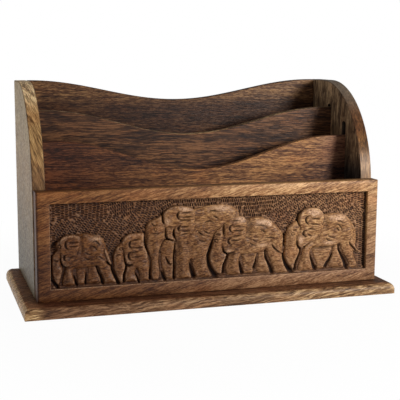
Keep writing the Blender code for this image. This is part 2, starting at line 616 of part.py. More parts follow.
def fit_dowels(boards, group, cutters, beech):
    blank = turned("dowel_blank", dowel_profile(0), group)
    mesh = blank.data
    bpy.data.objects.remove(blank, do_unlink=True)
    mesh.name = "dowel"
    mesh.materials.append(beech)
    mesh.shade_smooth()
    mesh.set_sharp_from_angle(angle=SHARP_ANGLE)
    for name, place, joins in dowel_places():
        hole = hide_cutter(turned(f"hole_{name}", dowel_profile(GLUE_GAP), cutters, place))
        for board in joins:
            boolean(boards[board], "DIFFERENCE", hole)
        add_object(name, mesh, group, place)


def main():
    clear_scene()
    rack = new_collection("letter_rack")
    cutters = new_collection("cutters")
    base = make_base(rack)
    left, right = make_sides(rack, cutters)
    back, middle, front_divider = make_cross_boards(rack)
    panel = make_front_panel(rack, cutters)
    boards = {item.name: item for item in (base, left, right, back, middle, front_divider, panel)}
    colours = {
        "base_board": (0.24, 0.135, 0.07),
        "left_side": (0.33, 0.21, 0.12),
        "right_side": (0.30, 0.18, 0.09),
        "back_panel": (0.15, 0.08, 0.045),
        "middle_divider": (0.12, 0.06, 0.04),
        "front_divider": (0.20, 0.11, 0.06),
        "front_panel": (0.30, 0.16, 0.08),
    }
    for name, board in boards.items():
        board.data.materials.append(material(f"{name}_wood", colours[name], 0.45))
    steel = material("screw_steel", (0.62, 0.60, 0.55), 0.35, 1.0)
    beech = material("dowel_beech", (0.62, 0.45, 0.28), 0.7)
    fit_screws(boards, rack, cutters, steel)
    fit_dowels(boards, rack, cutters, beech)


main()
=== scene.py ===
"""The looks of a desk letter rack in varnished hardwood. The boards are rebuilt round the CAD
frame with fine rounded edges, the front board's frieze of five elephants is carved as one fine
relief, and every surface gets a procedural wood or metal. Lengths in the frame are in metres;
the relief is worked out in millimetres."""

import math

import bmesh
import bpy
import numpy as np
from mathutils import Euler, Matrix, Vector


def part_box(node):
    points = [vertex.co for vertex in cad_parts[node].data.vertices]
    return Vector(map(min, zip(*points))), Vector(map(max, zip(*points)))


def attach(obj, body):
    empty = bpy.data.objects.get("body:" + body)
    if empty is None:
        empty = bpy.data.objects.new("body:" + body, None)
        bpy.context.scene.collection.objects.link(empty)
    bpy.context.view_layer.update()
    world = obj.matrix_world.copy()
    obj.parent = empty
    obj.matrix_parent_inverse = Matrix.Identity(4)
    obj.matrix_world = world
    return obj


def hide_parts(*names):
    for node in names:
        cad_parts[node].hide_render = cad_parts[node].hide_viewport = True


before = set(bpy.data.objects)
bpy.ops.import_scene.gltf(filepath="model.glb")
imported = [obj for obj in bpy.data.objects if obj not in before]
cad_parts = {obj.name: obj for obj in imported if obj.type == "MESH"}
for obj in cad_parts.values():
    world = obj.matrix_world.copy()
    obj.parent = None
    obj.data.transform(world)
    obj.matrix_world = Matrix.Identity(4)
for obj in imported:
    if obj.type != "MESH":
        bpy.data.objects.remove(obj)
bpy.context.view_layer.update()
MM = 0.001

# The camera, solved from the corners of the rack
CAMERA_PLACE = (-0.24447, -0.81176, 0.21368)
CAMERA_TURN_DEGREES = (81.0707, -0.2866, -16.9753)
FOCAL_PIXELS = 943.76
PHOTO_PIXELS = 400
SENSOR_WIDTH = 36.0
NEAR_CLIP = 0.05

# The even light all round, then each lamp's place, aim, size, power and colour
AMBIENT_LIGHT = 0.22
LAMPS = {
    "key": ((0.44, -0.62, 0.30), (0.05, 0, 0.08), 0.20, 4.8, (1.0, 0.97, 0.93)),
    "left": ((-0.90, 0.06, 0.14), (-0.15, 0.02, 0.09), 0.50, 2.0, (0.97, 0.98, 1.0)),
}

# Rounded edges of the boards
BOARD_EDGE = 0.8 * MM
PANEL_EDGE = 0.6 * MM
CUTTER_EDGE = 0.05 * MM
EDGE_SEGMENTS = 3
FINE_SEGMENTS = 2
NOSE_RADIUS = 6 * MM
NOSE_SEGMENTS = 10

# Edges over the corner angles get rounded, and those over the smooth angles are shaded as sharp
CORNER_ANGLE = math.radians(30)
BASE_CORNER_ANGLE = math.radians(50)
SMOOTH_ANGLE = math.radians(34)
CARVED_SMOOTH_ANGLE = math.radians(70)
FLAT_FACE_WEIGHT = 90

# The side boards' curve and the housings in them
SIDE_FLAT_TOP = 30.6 * MM
SIDE_ARC_DROP = 94.2 * MM
ARC_STEPS = 56
SCOOP_STEPS = 72
HOUSING_DEPTH = 4 * MM
HOUSING_GAP = 0.3 * MM
HOUSING_STEPS = 12
CUT_OVERRUN = 2 * MM
# How far each housing runs on above its divider's end
HOUSINGS = (("front_divider", 13 * MM), ("middle_divider", 3 * MM))

# A face or an edge within the reach of a place belongs to it, and the skin is left out
PICK_REACH = 2 * MM
PICK_SKIN = 0.1 * MM

# Each cross board's scoop: its depth, and the flat at each end of it
SCOOPS = {
    "back_panel": (18.5 * MM, 3 * MM),
    "middle_divider": (23 * MM, 12 * MM),
    "front_divider": (27.5 * MM, 17.5 * MM),
}

# The carved recess, in millimetres. The frieze stops short of its right end.
RECESS_BORDERS = {"left": 11.0, "right": 9.3, "top": 9.9, "bottom": 10.4}
FRIEZE_END_GAP = 1.7
RECESS_DEPTH = 5.5
CELL = 0.40
WALL_WIDTH = 0.30
RECESS_ARRIS = 0.35
GROUND_LEVEL = 1.3
OUTLINE_STEPS = 5
EDGE_BLEND = 0.35
LAYERS = {
    # kind: level over the recess floor, drop at its edge, radius of the rounding, cut round it
    "far": (2.4, 1.4, 4.0, 0.2),
    "body": (4.1, 2.6, 9.0, 0.3),
    "tail": (4.3, 1.0, 2.0, 0.3),
    "face": (4.5, 2.5, 6.0, 0.5),
    "tusk": (4.8, 1.2, 2.6, 0.6),
    "ear": (5.0, 1.3, 7.0, 0.3),
}
# Stain and painted shade along each layer's edge, where it overlaps figure laid before
LAYER_STAIN_AND_SHADE = 0.16
CUT_WIDTH = 0.80
SWELL_HEIGHT = 1.1
# Painted shade and stain laid in the dug-out hollows
HOLLOW_STAIN_AND_SHADE = 0.35
FACET_HEIGHT = 0.45
ROUGHNESS_HEIGHT = 0.11
LOWEST_LEVEL = -1.2

# Knife cuts: their half width, their depth and the strength of the stain and painted shade in them
CREASE = {"width": 0.58, "depth": 1.20, "stain_and_shade": 0.90}
CRESCENT = {"width": 0.80, "depth": 1.70, "stain_and_shade": 1.00}
DEEP_CUT = {"width": 0.85, "depth": 2.6, "stain_and_shade": 0.9}
WEDGE_DEPTH = 3.4

# An eye is a bead in a sunk ring
BEAD_RADIUS = 0.6
BEAD_HEIGHT = 0.35
RING_RADIUS = 1.25
RING_WIDTH = 0.42
RING_DEPTH = 0.75
# Stain and painted shade in the eye's ring
RING_STAIN_AND_SHADE = 0.55
EYE_REACH = 3.0

# The ground rises to this level along the recess's bottom, where the feet stand
FOOT_LEVEL = 3.2
FOOT_HEIGHT = 3.4

# Stain and painted shadow along the recess's left, right, bottom and top walls: its strength and its
# reach
WALL_STAIN_AND_SHADOW = ((0.4, 0.7), (0.9, 1.1), (0.35, 0.6), (0.80, 0.7))

# The gouge strokes of the ground: their spacing side by side and end to end, their length, half
# width and depth
STROKE_PITCH = 1.95
STROKE_ROW = 3.2
STROKE_LENGTH = 3.4
STROKE_WIDTH = 0.90
STROKE_DEPTH = 1.15
# How unevenly the hand lays them: the spread of their places, and of their turns in radians
STROKE_SPREAD = 0.10
STROKE_TURN_SPREAD = 0.06
# Stain and painted shade in the strokes, wear and painted highlights on the ridges, and darkening
# where there are none, below and above
STROKE_STAIN_AND_SHADE = 0.92
RIDGE_WEAR_AND_HIGHLIGHT = 0.62
PLAIN_INK = (0.30, 0.60)
# No stroke lies between the elephants' legs: below this height, and up to this far along
LEG_HEIGHT_share = 0.33
LEG_REACH_share = 0.975

# The elephants from left to right, each walking to the left. A point is a share of the frieze's
# length from the recess's left end, and of the recess's height from its bottom.
ELEPHANT_shares = [
    [
        ("far", [(0.078, 0.26), (0.077, 0.18), (0.079, 0.10), (0.082, 0.04), (0.101, 0.04),
                 (0.102, 0.12), (0.103, 0.19), (0.104, 0.26)]),
        ("far", [(0.112, 0.26), (0.112, 0.18), (0.110, 0.10), (0.111, 0.04), (0.148, 0.04),
                 (0.145, 0.11), (0.138, 0.18), (0.132, 0.26)]),
        ("body", [(0.075, 0.60), (0.090, 0.625), (0.105, 0.638), (0.120, 0.625), (0.135, 0.60),
                  (0.148, 0.585), (0.157, 0.555), (0.163, 0.50), (0.168, 0.44), (0.173, 0.38),
                  (0.177, 0.32), (0.178, 0.255), (0.179, 0.19), (0.185, 0.14), (0.192, 0.08),
                  (0.195, 0.03), (0.162, 0.025), (0.159, 0.07), (0.154, 0.12), (0.147, 0.18),
                  (0.139, 0.24), (0.115, 0.235), (0.095, 0.225), (0.072, 0.225), (0.065, 0.19),
                  (0.065, 0.14), (0.069, 0.09), (0.072, 0.04), (0.066, 0.025), (0.040, 0.025),
                  (0.035, 0.06), (0.037, 0.12), (0.041, 0.18), (0.045, 0.26), (0.055, 0.40)]),
        ("tail", [(0.162, 0.45), (0.170, 0.38), (0.177, 0.30), (0.182, 0.245), (0.174, 0.255),
                  (0.167, 0.31), (0.158, 0.40)]),
        ("face", [(0.030, 0.575), (0.023, 0.55), (0.019, 0.50), (0.021, 0.455), (0.014, 0.425),
                  (0.007, 0.38), (0.005, 0.31), (0.005, 0.22), (0.008, 0.145), (0.014, 0.085),
                  (0.022, 0.045), (0.027, 0.08), (0.030, 0.13), (0.034, 0.185), (0.036, 0.235),
                  (0.033, 0.28), (0.030, 0.33), (0.034, 0.40), (0.044, 0.48), (0.044, 0.56)]),
        ("ear", [(0.029, 0.50), (0.029, 0.56), (0.035, 0.60), (0.047, 0.62), (0.062, 0.627),
                 (0.077, 0.62), (0.087, 0.60), (0.087, 0.55), (0.086, 0.50), (0.083, 0.455),
                 (0.078, 0.41), (0.074, 0.37), (0.068, 0.325), (0.060, 0.285), (0.050, 0.26),
                 (0.041, 0.265), (0.034, 0.30), (0.031, 0.35), (0.030, 0.42)]),
    ],
    [
        ("body", [(0.228, 0.32), (0.226, 0.22), (0.223, 0.14), (0.221, 0.06), (0.224, 0.03),
                  (0.257, 0.03), (0.256, 0.08), (0.251, 0.13), (0.255, 0.18), (0.262, 0.15),
                  (0.266, 0.09), (0.268, 0.03), (0.295, 0.03), (0.295, 0.10), (0.296, 0.18),
                  (0.295, 0.27), (0.280, 0.36)]),
        ("face", [(0.213, 0.52), (0.206, 0.49), (0.198, 0.455), (0.192, 0.41), (0.188, 0.36),
                  (0.187, 0.30), (0.187, 0.24), (0.190, 0.18), (0.196, 0.12), (0.202, 0.06),
                  (0.207, 0.025), (0.216, 0.03), (0.218, 0.08), (0.219, 0.14), (0.222, 0.19),
                  (0.223, 0.24), (0.221, 0.29), (0.219, 0.34), (0.222, 0.40), (0.228, 0.46),
                  (0.226, 0.53)]),
        ("ear", [(0.217, 0.40), (0.214, 0.45), (0.213, 0.50), (0.216, 0.545), (0.223, 0.58),
                 (0.236, 0.602), (0.252, 0.61), (0.268, 0.61), (0.278, 0.60), (0.278, 0.54),
                 (0.278, 0.48), (0.282, 0.43), (0.287, 0.38), (0.290, 0.33), (0.287, 0.30),
                 (0.276, 0.287), (0.262, 0.272), (0.250, 0.255), (0.238, 0.24), (0.229, 0.245),
                 (0.223, 0.28), (0.220, 0.33)]),
    ],
    [
        ("far", [(0.338, 0.50), (0.333, 0.42), (0.332, 0.32), (0.333, 0.22), (0.338, 0.13),
                 (0.346, 0.05), (0.352, 0.03), (0.370, 0.03), (0.371, 0.12), (0.371, 0.25),
                 (0.374, 0.40), (0.384, 0.50)]),
        ("body", [(0.420, 0.84), (0.436, 0.865), (0.452, 0.872), (0.466, 0.886), (0.485, 0.903),
                  (0.510, 0.912), (0.534, 0.905), (0.553, 0.88), (0.566, 0.845), (0.578, 0.79),
                  (0.575, 0.70), (0.540, 0.60), (0.505, 0.55), (0.493, 0.47), (0.487, 0.39),
                  (0.479, 0.31), (0.478, 0.23), (0.483, 0.16), (0.490, 0.10), (0.497, 0.055),
                  (0.494, 0.025), (0.448, 0.025), (0.441, 0.06), (0.436, 0.12), (0.430, 0.18),
                  (0.425, 0.25), (0.420, 0.20), (0.420, 0.13), (0.425, 0.06), (0.421, 0.025),
                  (0.383, 0.025), (0.377, 0.07), (0.377, 0.15), (0.378, 0.25), (0.377, 0.36),
                  (0.376, 0.45), (0.382, 0.56)]),
        ("face", [(0.337, 0.81), (0.327, 0.795), (0.315, 0.77), (0.300, 0.745), (0.290, 0.705),
                  (0.285, 0.65), (0.283, 0.59), (0.283, 0.52), (0.287, 0.45), (0.292, 0.39),
                  (0.297, 0.33), (0.301, 0.27), (0.302, 0.18), (0.302, 0.10), (0.306, 0.035),
                  (0.320, 0.03), (0.326, 0.07), (0.326, 0.15), (0.324, 0.22), (0.324, 0.29),
                  (0.325, 0.36), (0.329, 0.42), (0.335, 0.47), (0.342, 0.51), (0.352, 0.53),
                  (0.360, 0.66), (0.350, 0.80)]),
        ("tusk", [(0.346, 0.66), (0.346, 0.60), (0.349, 0.545), (0.356, 0.515), (0.366, 0.498),
                  (0.376, 0.495), (0.374, 0.54), (0.371, 0.59), (0.370, 0.66)]),
        ("ear", [(0.342, 0.66), (0.339, 0.71), (0.337, 0.76), (0.338, 0.81), (0.343, 0.85),
                 (0.352, 0.883), (0.366, 0.905), (0.384, 0.914), (0.402, 0.908), (0.419, 0.888),
                 (0.432, 0.865), (0.435, 0.80), (0.437, 0.73), (0.436, 0.66), (0.431, 0.605),
                 (0.421, 0.56), (0.409, 0.525), (0.395, 0.498), (0.384, 0.485), (0.377, 0.51),
                 (0.373, 0.57), (0.369, 0.64), (0.355, 0.67)]),
    ],
    [
        ("far", [(0.588, 0.33), (0.590, 0.22), (0.594, 0.13), (0.596, 0.04), (0.624, 0.04),
                 (0.628, 0.13), (0.634, 0.22), (0.636, 0.33)]),
        ("far", [(0.645, 0.33), (0.643, 0.22), (0.639, 0.13), (0.641, 0.04), (0.682, 0.04),
                 (0.678, 0.12), (0.668, 0.20), (0.663, 0.33)]),
        ("body", [(0.585, 0.68), (0.610, 0.715), (0.635, 0.73), (0.657, 0.722), (0.676, 0.695),
                  (0.690, 0.65), (0.702, 0.605), (0.713, 0.56), (0.722, 0.515), (0.725, 0.44),
                  (0.723, 0.36), (0.721, 0.27), (0.724, 0.19), (0.730, 0.12), (0.738, 0.06),
                  (0.740, 0.02), (0.698, 0.02), (0.694, 0.08), (0.688, 0.13), (0.680, 0.20),
                  (0.673, 0.26), (0.667, 0.315), (0.655, 0.29), (0.630, 0.28), (0.605, 0.28),
                  (0.588, 0.275), (0.580, 0.23), (0.578, 0.17), (0.581, 0.10), (0.585, 0.045),
                  (0.580, 0.03), (0.545, 0.03), (0.537, 0.07), (0.537, 0.14), (0.541, 0.21),
                  (0.546, 0.28), (0.555, 0.33), (0.570, 0.45)]),
        ("tail", [(0.688, 0.41), (0.700, 0.345), (0.712, 0.30), (0.724, 0.285), (0.722, 0.262),
                  (0.708, 0.272), (0.695, 0.305), (0.683, 0.36), (0.678, 0.40)]),
        ("face", [(0.529, 0.675), (0.518, 0.64), (0.506, 0.61), (0.499, 0.57), (0.495, 0.50),
                  (0.494, 0.42), (0.488, 0.34), (0.484, 0.28), (0.485, 0.20), (0.491, 0.13),
                  (0.500, 0.085), (0.512, 0.055), (0.525, 0.055), (0.528, 0.10), (0.529, 0.16),
                  (0.535, 0.23), (0.539, 0.28), (0.533, 0.31), (0.527, 0.345), (0.526, 0.40),
                  (0.532, 0.45), (0.545, 0.50), (0.548, 0.60), (0.538, 0.67)]),
        ("ear", [(0.524, 0.45), (0.523, 0.395), (0.527, 0.345), (0.536, 0.315), (0.550, 0.308),
                 (0.562, 0.325), (0.573, 0.365), (0.586, 0.40), (0.596, 0.455), (0.601, 0.52),
                 (0.603, 0.60), (0.602, 0.68), (0.597, 0.73), (0.586, 0.757), (0.570, 0.758),
                 (0.554, 0.742), (0.541, 0.712), (0.533, 0.67), (0.530, 0.61), (0.531, 0.55),
                 (0.528, 0.50)]),
    ],
    [
        ("far", [(0.825, 0.33), (0.828, 0.22), (0.838, 0.12), (0.843, 0.04), (0.866, 0.04),
                 (0.872, 0.11), (0.884, 0.21), (0.888, 0.33)]),
        ("far", [(0.898, 0.33), (0.892, 0.22), (0.885, 0.12), (0.885, 0.04), (0.930, 0.04),
                 (0.932, 0.11), (0.920, 0.20), (0.912, 0.33)]),
        ("body", [(0.840, 0.70), (0.865, 0.725), (0.890, 0.735), (0.915, 0.725), (0.937, 0.69),
                  (0.950, 0.635), (0.963, 0.57), (0.971, 0.49), (0.975, 0.41), (0.972, 0.33),
                  (0.966, 0.26), (0.968, 0.17), (0.976, 0.10), (0.980, 0.045), (0.974, 0.02),
                  (0.952, 0.02), (0.951, 0.08), (0.944, 0.14), (0.931, 0.21), (0.923, 0.28),
                  (0.918, 0.335), (0.905, 0.32), (0.880, 0.30), (0.850, 0.295), (0.825, 0.30),
                  (0.815, 0.26), (0.815, 0.19), (0.820, 0.12), (0.826, 0.05), (0.820, 0.025),
                  (0.782, 0.025), (0.776, 0.06), (0.779, 0.13), (0.786, 0.20), (0.791, 0.28),
                  (0.800, 0.34), (0.830, 0.45)]),
        ("tail", [(0.955, 0.42), (0.966, 0.33), (0.978, 0.255), (0.990, 0.225), (0.986, 0.20),
                  (0.972, 0.222), (0.958, 0.27), (0.946, 0.35)]),
        ("face", [(0.766, 0.655), (0.752, 0.625), (0.739, 0.575), (0.733, 0.50), (0.732, 0.42),
                  (0.731, 0.33), (0.729, 0.26), (0.733, 0.18), (0.743, 0.10), (0.752, 0.045),
                  (0.759, 0.03), (0.763, 0.06), (0.765, 0.12), (0.771, 0.19), (0.778, 0.25),
                  (0.779, 0.295), (0.774, 0.33), (0.771, 0.38), (0.775, 0.44), (0.787, 0.49),
                  (0.792, 0.60), (0.778, 0.65)]),
        ("ear", [(0.769, 0.44), (0.769, 0.38), (0.775, 0.335), (0.787, 0.325), (0.797, 0.35),
                 (0.808, 0.375), (0.823, 0.395), (0.837, 0.435), (0.849, 0.49), (0.857, 0.56),
                 (0.861, 0.63), (0.859, 0.71), (0.852, 0.765), (0.842, 0.80), (0.825, 0.815),
                 (0.806, 0.812), (0.790, 0.79), (0.780, 0.75), (0.774, 0.70), (0.774, 0.64),
                 (0.779, 0.58), (0.776, 0.51)]),
    ],
]

# Deep wedges between the legs and beside the trunks, which widen on their way down and are painted
# black with shade: half the width at the foot in millimetres, then the line, in shares as above
WEDGE_shares = [
    (1.1, [(0.000, 0.15), (0.005, 0.10), (0.012, 0.06), (0.020, 0.02)]),
    (0.9, [(0.133, 0.26), (0.137, 0.21), (0.143, 0.15), (0.150, 0.10), (0.154, 0.03)]),
    (0.8, [(0.068, 0.15), (0.073, 0.09), (0.077, 0.03)]),
    (0.6, [(0.106, 0.18), (0.104, 0.10), (0.103, 0.04)]),
    (1.1, [(0.181, 0.28), (0.181, 0.23), (0.184, 0.17), (0.190, 0.11), (0.197, 0.06), (0.200, 0.02)]),
    (0.9, [(0.219, 0.35), (0.221, 0.27), (0.225, 0.22), (0.223, 0.17), (0.218, 0.12), (0.217, 0.04)]),
    (0.7, [(0.252, 0.13), (0.258, 0.08), (0.263, 0.02)]),
    (0.7, [(0.298, 0.18), (0.297, 0.13), (0.297, 0.05)]),
    (0.7, [(0.375, 0.50), (0.374, 0.40), (0.372, 0.28), (0.372, 0.15), (0.372, 0.03)]),
    (1.1, [(0.331, 0.14), (0.337, 0.08), (0.343, 0.03)]),
    (1.4, [(0.421, 0.22), (0.424, 0.17), (0.429, 0.10), (0.434, 0.04)]),
    (1.9, [(0.490, 0.50), (0.489, 0.43), (0.484, 0.37), (0.479, 0.30), (0.480, 0.22), (0.484, 0.16),
           (0.491, 0.10), (0.502, 0.03)]),
    (1.1, [(0.524, 0.42), (0.526, 0.36), (0.531, 0.315), (0.541, 0.29), (0.537, 0.23), (0.530, 0.16),
           (0.527, 0.07)]),
    (1.3, [(0.580, 0.20), (0.585, 0.12), (0.589, 0.05)]),
    (1.0, [(0.636, 0.24), (0.634, 0.16), (0.629, 0.10)]),
    (1.3, [(0.665, 0.34), (0.665, 0.27), (0.670, 0.20), (0.677, 0.14), (0.684, 0.08), (0.688, 0.03)]),
    (1.9, [(0.722, 0.30), (0.727, 0.20), (0.734, 0.12), (0.743, 0.07), (0.752, 0.025)]),
    (1.2, [(0.768, 0.44), (0.769, 0.38), (0.774, 0.33), (0.782, 0.30), (0.781, 0.25), (0.774, 0.18),
           (0.767, 0.12), (0.764, 0.05)]),
    (1.3, [(0.816, 0.23), (0.820, 0.17), (0.827, 0.10), (0.834, 0.04)]),
    (1.2, [(0.894, 0.23), (0.886, 0.15), (0.877, 0.10), (0.870, 0.06)]),
    (1.4, [(0.917, 0.36), (0.914, 0.28), (0.922, 0.21), (0.931, 0.15), (0.938, 0.09), (0.942, 0.03)]),
]

# Knife cuts over the elephants: deep ones that read as black lines, short crescents beside the
# ears, and shallow creases of skin
DEEP_CUT_shares = [
    [(0.001, 0.45), (0.006, 0.50), (0.012, 0.53), (0.021, 0.565)],
    [(0.226, 0.25), (0.232, 0.22), (0.245, 0.24)],
    [(0.337, 0.83), (0.336, 0.78), (0.337, 0.73), (0.341, 0.70)],
    [(0.344, 0.66), (0.344, 0.60), (0.347, 0.54), (0.353, 0.518), (0.362, 0.507), (0.372, 0.497)],
    [(0.371, 0.645), (0.369, 0.60), (0.370, 0.55), (0.375, 0.51)],
    [(0.345, 0.30), (0.352, 0.25), (0.358, 0.21), (0.368, 0.21)],
    [(0.527, 0.66), (0.5265, 0.60), (0.527, 0.52)],
    [(0.728, 0.53), (0.727, 0.44), (0.727, 0.34)],
    [(0.789, 0.79), (0.777, 0.75), (0.773, 0.70), (0.772, 0.65), (0.775, 0.60), (0.780, 0.575)],
    [(0.945, 0.36), (0.955, 0.31), (0.965, 0.27), (0.975, 0.23), (0.989, 0.21)],
    [(0.683, 0.40), (0.690, 0.35), (0.700, 0.31), (0.710, 0.28), (0.722, 0.265)],
    [(0.163, 0.30), (0.170, 0.27), (0.180, 0.235)],
]
CRESCENT_shares = [
    [(0.053, 0.578), (0.0455, 0.55), (0.0445, 0.51), (0.049, 0.47), (0.056, 0.457)],
    [(0.047, 0.405), (0.041, 0.385), (0.040, 0.35), (0.046, 0.325)],
    [(0.243, 0.53), (0.235, 0.51), (0.233, 0.475), (0.237, 0.445), (0.244, 0.435)],
    [(0.240, 0.395), (0.233, 0.375), (0.231, 0.335), (0.235, 0.30), (0.243, 0.29)],
    [(0.391, 0.855), (0.382, 0.83), (0.380, 0.795), (0.384, 0.76), (0.392, 0.745)],
    [(0.392, 0.685), (0.385, 0.665), (0.383, 0.63), (0.389, 0.60)],
    [(0.556, 0.665), (0.548, 0.64), (0.545, 0.605), (0.549, 0.575), (0.557, 0.56)],
    [(0.553, 0.505), (0.544, 0.485), (0.541, 0.45), (0.546, 0.42), (0.553, 0.41)],
    [(0.810, 0.725), (0.799, 0.70), (0.796, 0.66), (0.801, 0.625), (0.809, 0.612)],
    [(0.801, 0.545), (0.791, 0.525), (0.788, 0.495), (0.793, 0.465), (0.801, 0.455)],
]
CREASE_shares = [
    # lines over the ears
    [(0.052, 0.545), (0.065, 0.54), (0.084, 0.545)],
    [(0.052, 0.50), (0.066, 0.495), (0.083, 0.50)],
    [(0.048, 0.375), (0.058, 0.37), (0.070, 0.38)],
    [(0.240, 0.53), (0.252, 0.535), (0.270, 0.54)],
    [(0.240, 0.45), (0.252, 0.44), (0.275, 0.445)],
    [(0.238, 0.375), (0.248, 0.385), (0.260, 0.395)],
    [(0.238, 0.325), (0.250, 0.33), (0.268, 0.335)],
    [(0.389, 0.825), (0.402, 0.832), (0.418, 0.833), (0.430, 0.835)],
    [(0.389, 0.775), (0.402, 0.778), (0.418, 0.780), (0.432, 0.782)],
    [(0.385, 0.735), (0.400, 0.742), (0.420, 0.738)],
    [(0.390, 0.655), (0.402, 0.66), (0.415, 0.665)],
    [(0.392, 0.61), (0.405, 0.605), (0.420, 0.60)],
    [(0.388, 0.565), (0.400, 0.57), (0.415, 0.58)],
    [(0.552, 0.63), (0.568, 0.635), (0.590, 0.635)],
    [(0.554, 0.585), (0.570, 0.58), (0.592, 0.585)],
    [(0.550, 0.51), (0.565, 0.515), (0.585, 0.525)],
    [(0.549, 0.465), (0.562, 0.462), (0.578, 0.465)],
    [(0.548, 0.70), (0.562, 0.705), (0.580, 0.70)],
    [(0.810, 0.685), (0.825, 0.68), (0.845, 0.68)],
    [(0.808, 0.62), (0.825, 0.61), (0.845, 0.605)],
    [(0.800, 0.55), (0.812, 0.555), (0.830, 0.545)],
    [(0.800, 0.50), (0.808, 0.48), (0.818, 0.46)],
    [(0.862, 0.70), (0.858, 0.64), (0.850, 0.58)],
    # lines over the bodies
    [(0.120, 0.52), (0.130, 0.545), (0.140, 0.52), (0.146, 0.48)],
    [(0.112, 0.46), (0.122, 0.485), (0.132, 0.465), (0.137, 0.43)],
    [(0.100, 0.42), (0.112, 0.39), (0.124, 0.40)],
    [(0.098, 0.36), (0.110, 0.33), (0.122, 0.345)],
    [(0.140, 0.37), (0.150, 0.34), (0.160, 0.31)],
    [(0.445, 0.60), (0.455, 0.56), (0.466, 0.54)],
    [(0.460, 0.605), (0.475, 0.57), (0.485, 0.555)],
    [(0.443, 0.51), (0.455, 0.48), (0.472, 0.465)],
    [(0.478, 0.83), (0.495, 0.838), (0.512, 0.82)],
    [(0.490, 0.775), (0.503, 0.755), (0.510, 0.73)],
    [(0.466, 0.70), (0.480, 0.715), (0.495, 0.705)],
    [(0.628, 0.63), (0.645, 0.632), (0.660, 0.62), (0.666, 0.585)],
    [(0.645, 0.575), (0.655, 0.56), (0.662, 0.53)],
    [(0.620, 0.467), (0.628, 0.44), (0.638, 0.43)],
    [(0.611, 0.425), (0.620, 0.395), (0.633, 0.38)],
    [(0.665, 0.47), (0.680, 0.475), (0.692, 0.465)],
    [(0.895, 0.60), (0.910, 0.585), (0.919, 0.54), (0.921, 0.50)],
    [(0.900, 0.55), (0.908, 0.53), (0.911, 0.50)],
    [(0.872, 0.477), (0.880, 0.44), (0.905, 0.425)],
    [(0.866, 0.432), (0.875, 0.395), (0.892, 0.38)],
    [(0.900, 0.64), (0.915, 0.63), (0.925, 0.60)],
    # lines across trunks and foreheads
    [(0.300, 0.595), (0.310, 0.598), (0.328, 0.592)],
    [(0.300, 0.73), (0.307, 0.695), (0.318, 0.69)],
    [(0.010, 0.34), (0.018, 0.33), (0.026, 0.34)],
    [(0.192, 0.35), (0.200, 0.365), (0.210, 0.36)],
    [(0.500, 0.545), (0.508, 0.55), (0.518, 0.545)],
    [(0.752, 0.545), (0.760, 0.55), (0.768, 0.545)],
]
EYE_shares = [(0.0265, 0.50), (0.2085, 0.43), (0.312, 0.645), (0.503, 0.468), (0.752, 0.50)]
HOLLOW_shares = [
    # where the ground or a body is dug out deeper and painted with shade and stain: centre, radius
    # across and radius up
    (0.010, 0.50, 0.010, 0.05),
    (0.610, 0.62, 0.010, 0.13),
    (0.092, 0.50, 0.006, 0.10),
    (0.182, 0.38, 0.006, 0.06),
    (0.384, 0.42, 0.009, 0.10),
    (0.339, 0.09, 0.004, 0.06),
    (0.867, 0.62, 0.007, 0.08),
    (0.286, 0.56, 0.004, 0.10),
    (0.555, 0.30, 0.012, 0.03),
    (0.862, 0.31, 0.030, 0.02),
]
BULGE_shares = [
    # hips, shoulders and knees: centre, radius across and radius up
    (0.150, 0.40, 0.016, 0.17),
    (0.118, 0.55, 0.030, 0.07),
    (0.058, 0.14, 0.012, 0.10),
    (0.520, 0.79, 0.038, 0.10),
    (0.455, 0.36, 0.022, 0.16),
    (0.400, 0.22, 0.014, 0.18),
    (0.312, 0.55, 0.014, 0.16),
    (0.648, 0.63, 0.036, 0.09),
    (0.704, 0.44, 0.018, 0.16),
    (0.562, 0.20, 0.014, 0.14),
    (0.512, 0.44, 0.012, 0.14),
    (0.900, 0.64, 0.036, 0.08),
    (0.950, 0.44, 0.018, 0.16),
    (0.803, 0.22, 0.012, 0.14),
    (0.750, 0.42, 0.012, 0.16),
]
WORN_AND_LIT_shares = [
    # high places that handling has rubbed pale, with painted highlights: centre, radius across and
    # radius up
    (0.138, 0.57, 0.020, 0.045),
    (0.405, 0.87, 0.028, 0.045),
    (0.350, 0.74, 0.012, 0.060),
    (0.520, 0.87, 0.050, 0.050),
    (0.580, 0.71, 0.024, 0.055),
    (0.656, 0.66, 0.034, 0.060),
    (0.679, 0.66, 0.006, 0.040),
    (0.825, 0.76, 0.030, 0.060),
    (0.910, 0.68, 0.042, 0.050),
    (0.780, 0.42, 0.010, 0.060),
    (0.545, 0.33, 0.014, 0.030),
    (0.655, 0.38, 0.024, 0.030),
    (0.880, 0.36, 0.024, 0.030),
]

# Which way the gouge strokes of the ground run: place in shares, and degrees from level
STROKE_DIRECTIONS = [
    (0.00, 0.50, 0), (0.00, 0.95, 0), (0.05, 0.92, 0), (0.05, 0.68, -40), (0.10, 0.72, -35),
    (0.12, 0.92, -5), (0.17, 0.60, -25), (0.20, 0.70, -32), (0.25, 0.70, -42), (0.22, 0.92, -70),
    (0.28, 0.90, -15), (0.28, 0.78, -25), (0.34, 0.94, -62), (0.40, 0.96, 90), (0.48, 0.96, 90),
    (0.56, 0.90, 90), (0.62, 0.80, 88), (0.66, 0.90, 92), (0.70, 0.64, -35), (0.72, 0.80, -60),
    (0.75, 0.72, -35), (0.76, 0.93, -55), (0.84, 0.90, -52), (0.90, 0.85, -62), (0.94, 0.80, -62),
    (0.97, 0.90, 0), (0.99, 0.55, 0), (0.96, 0.70, -30),
]

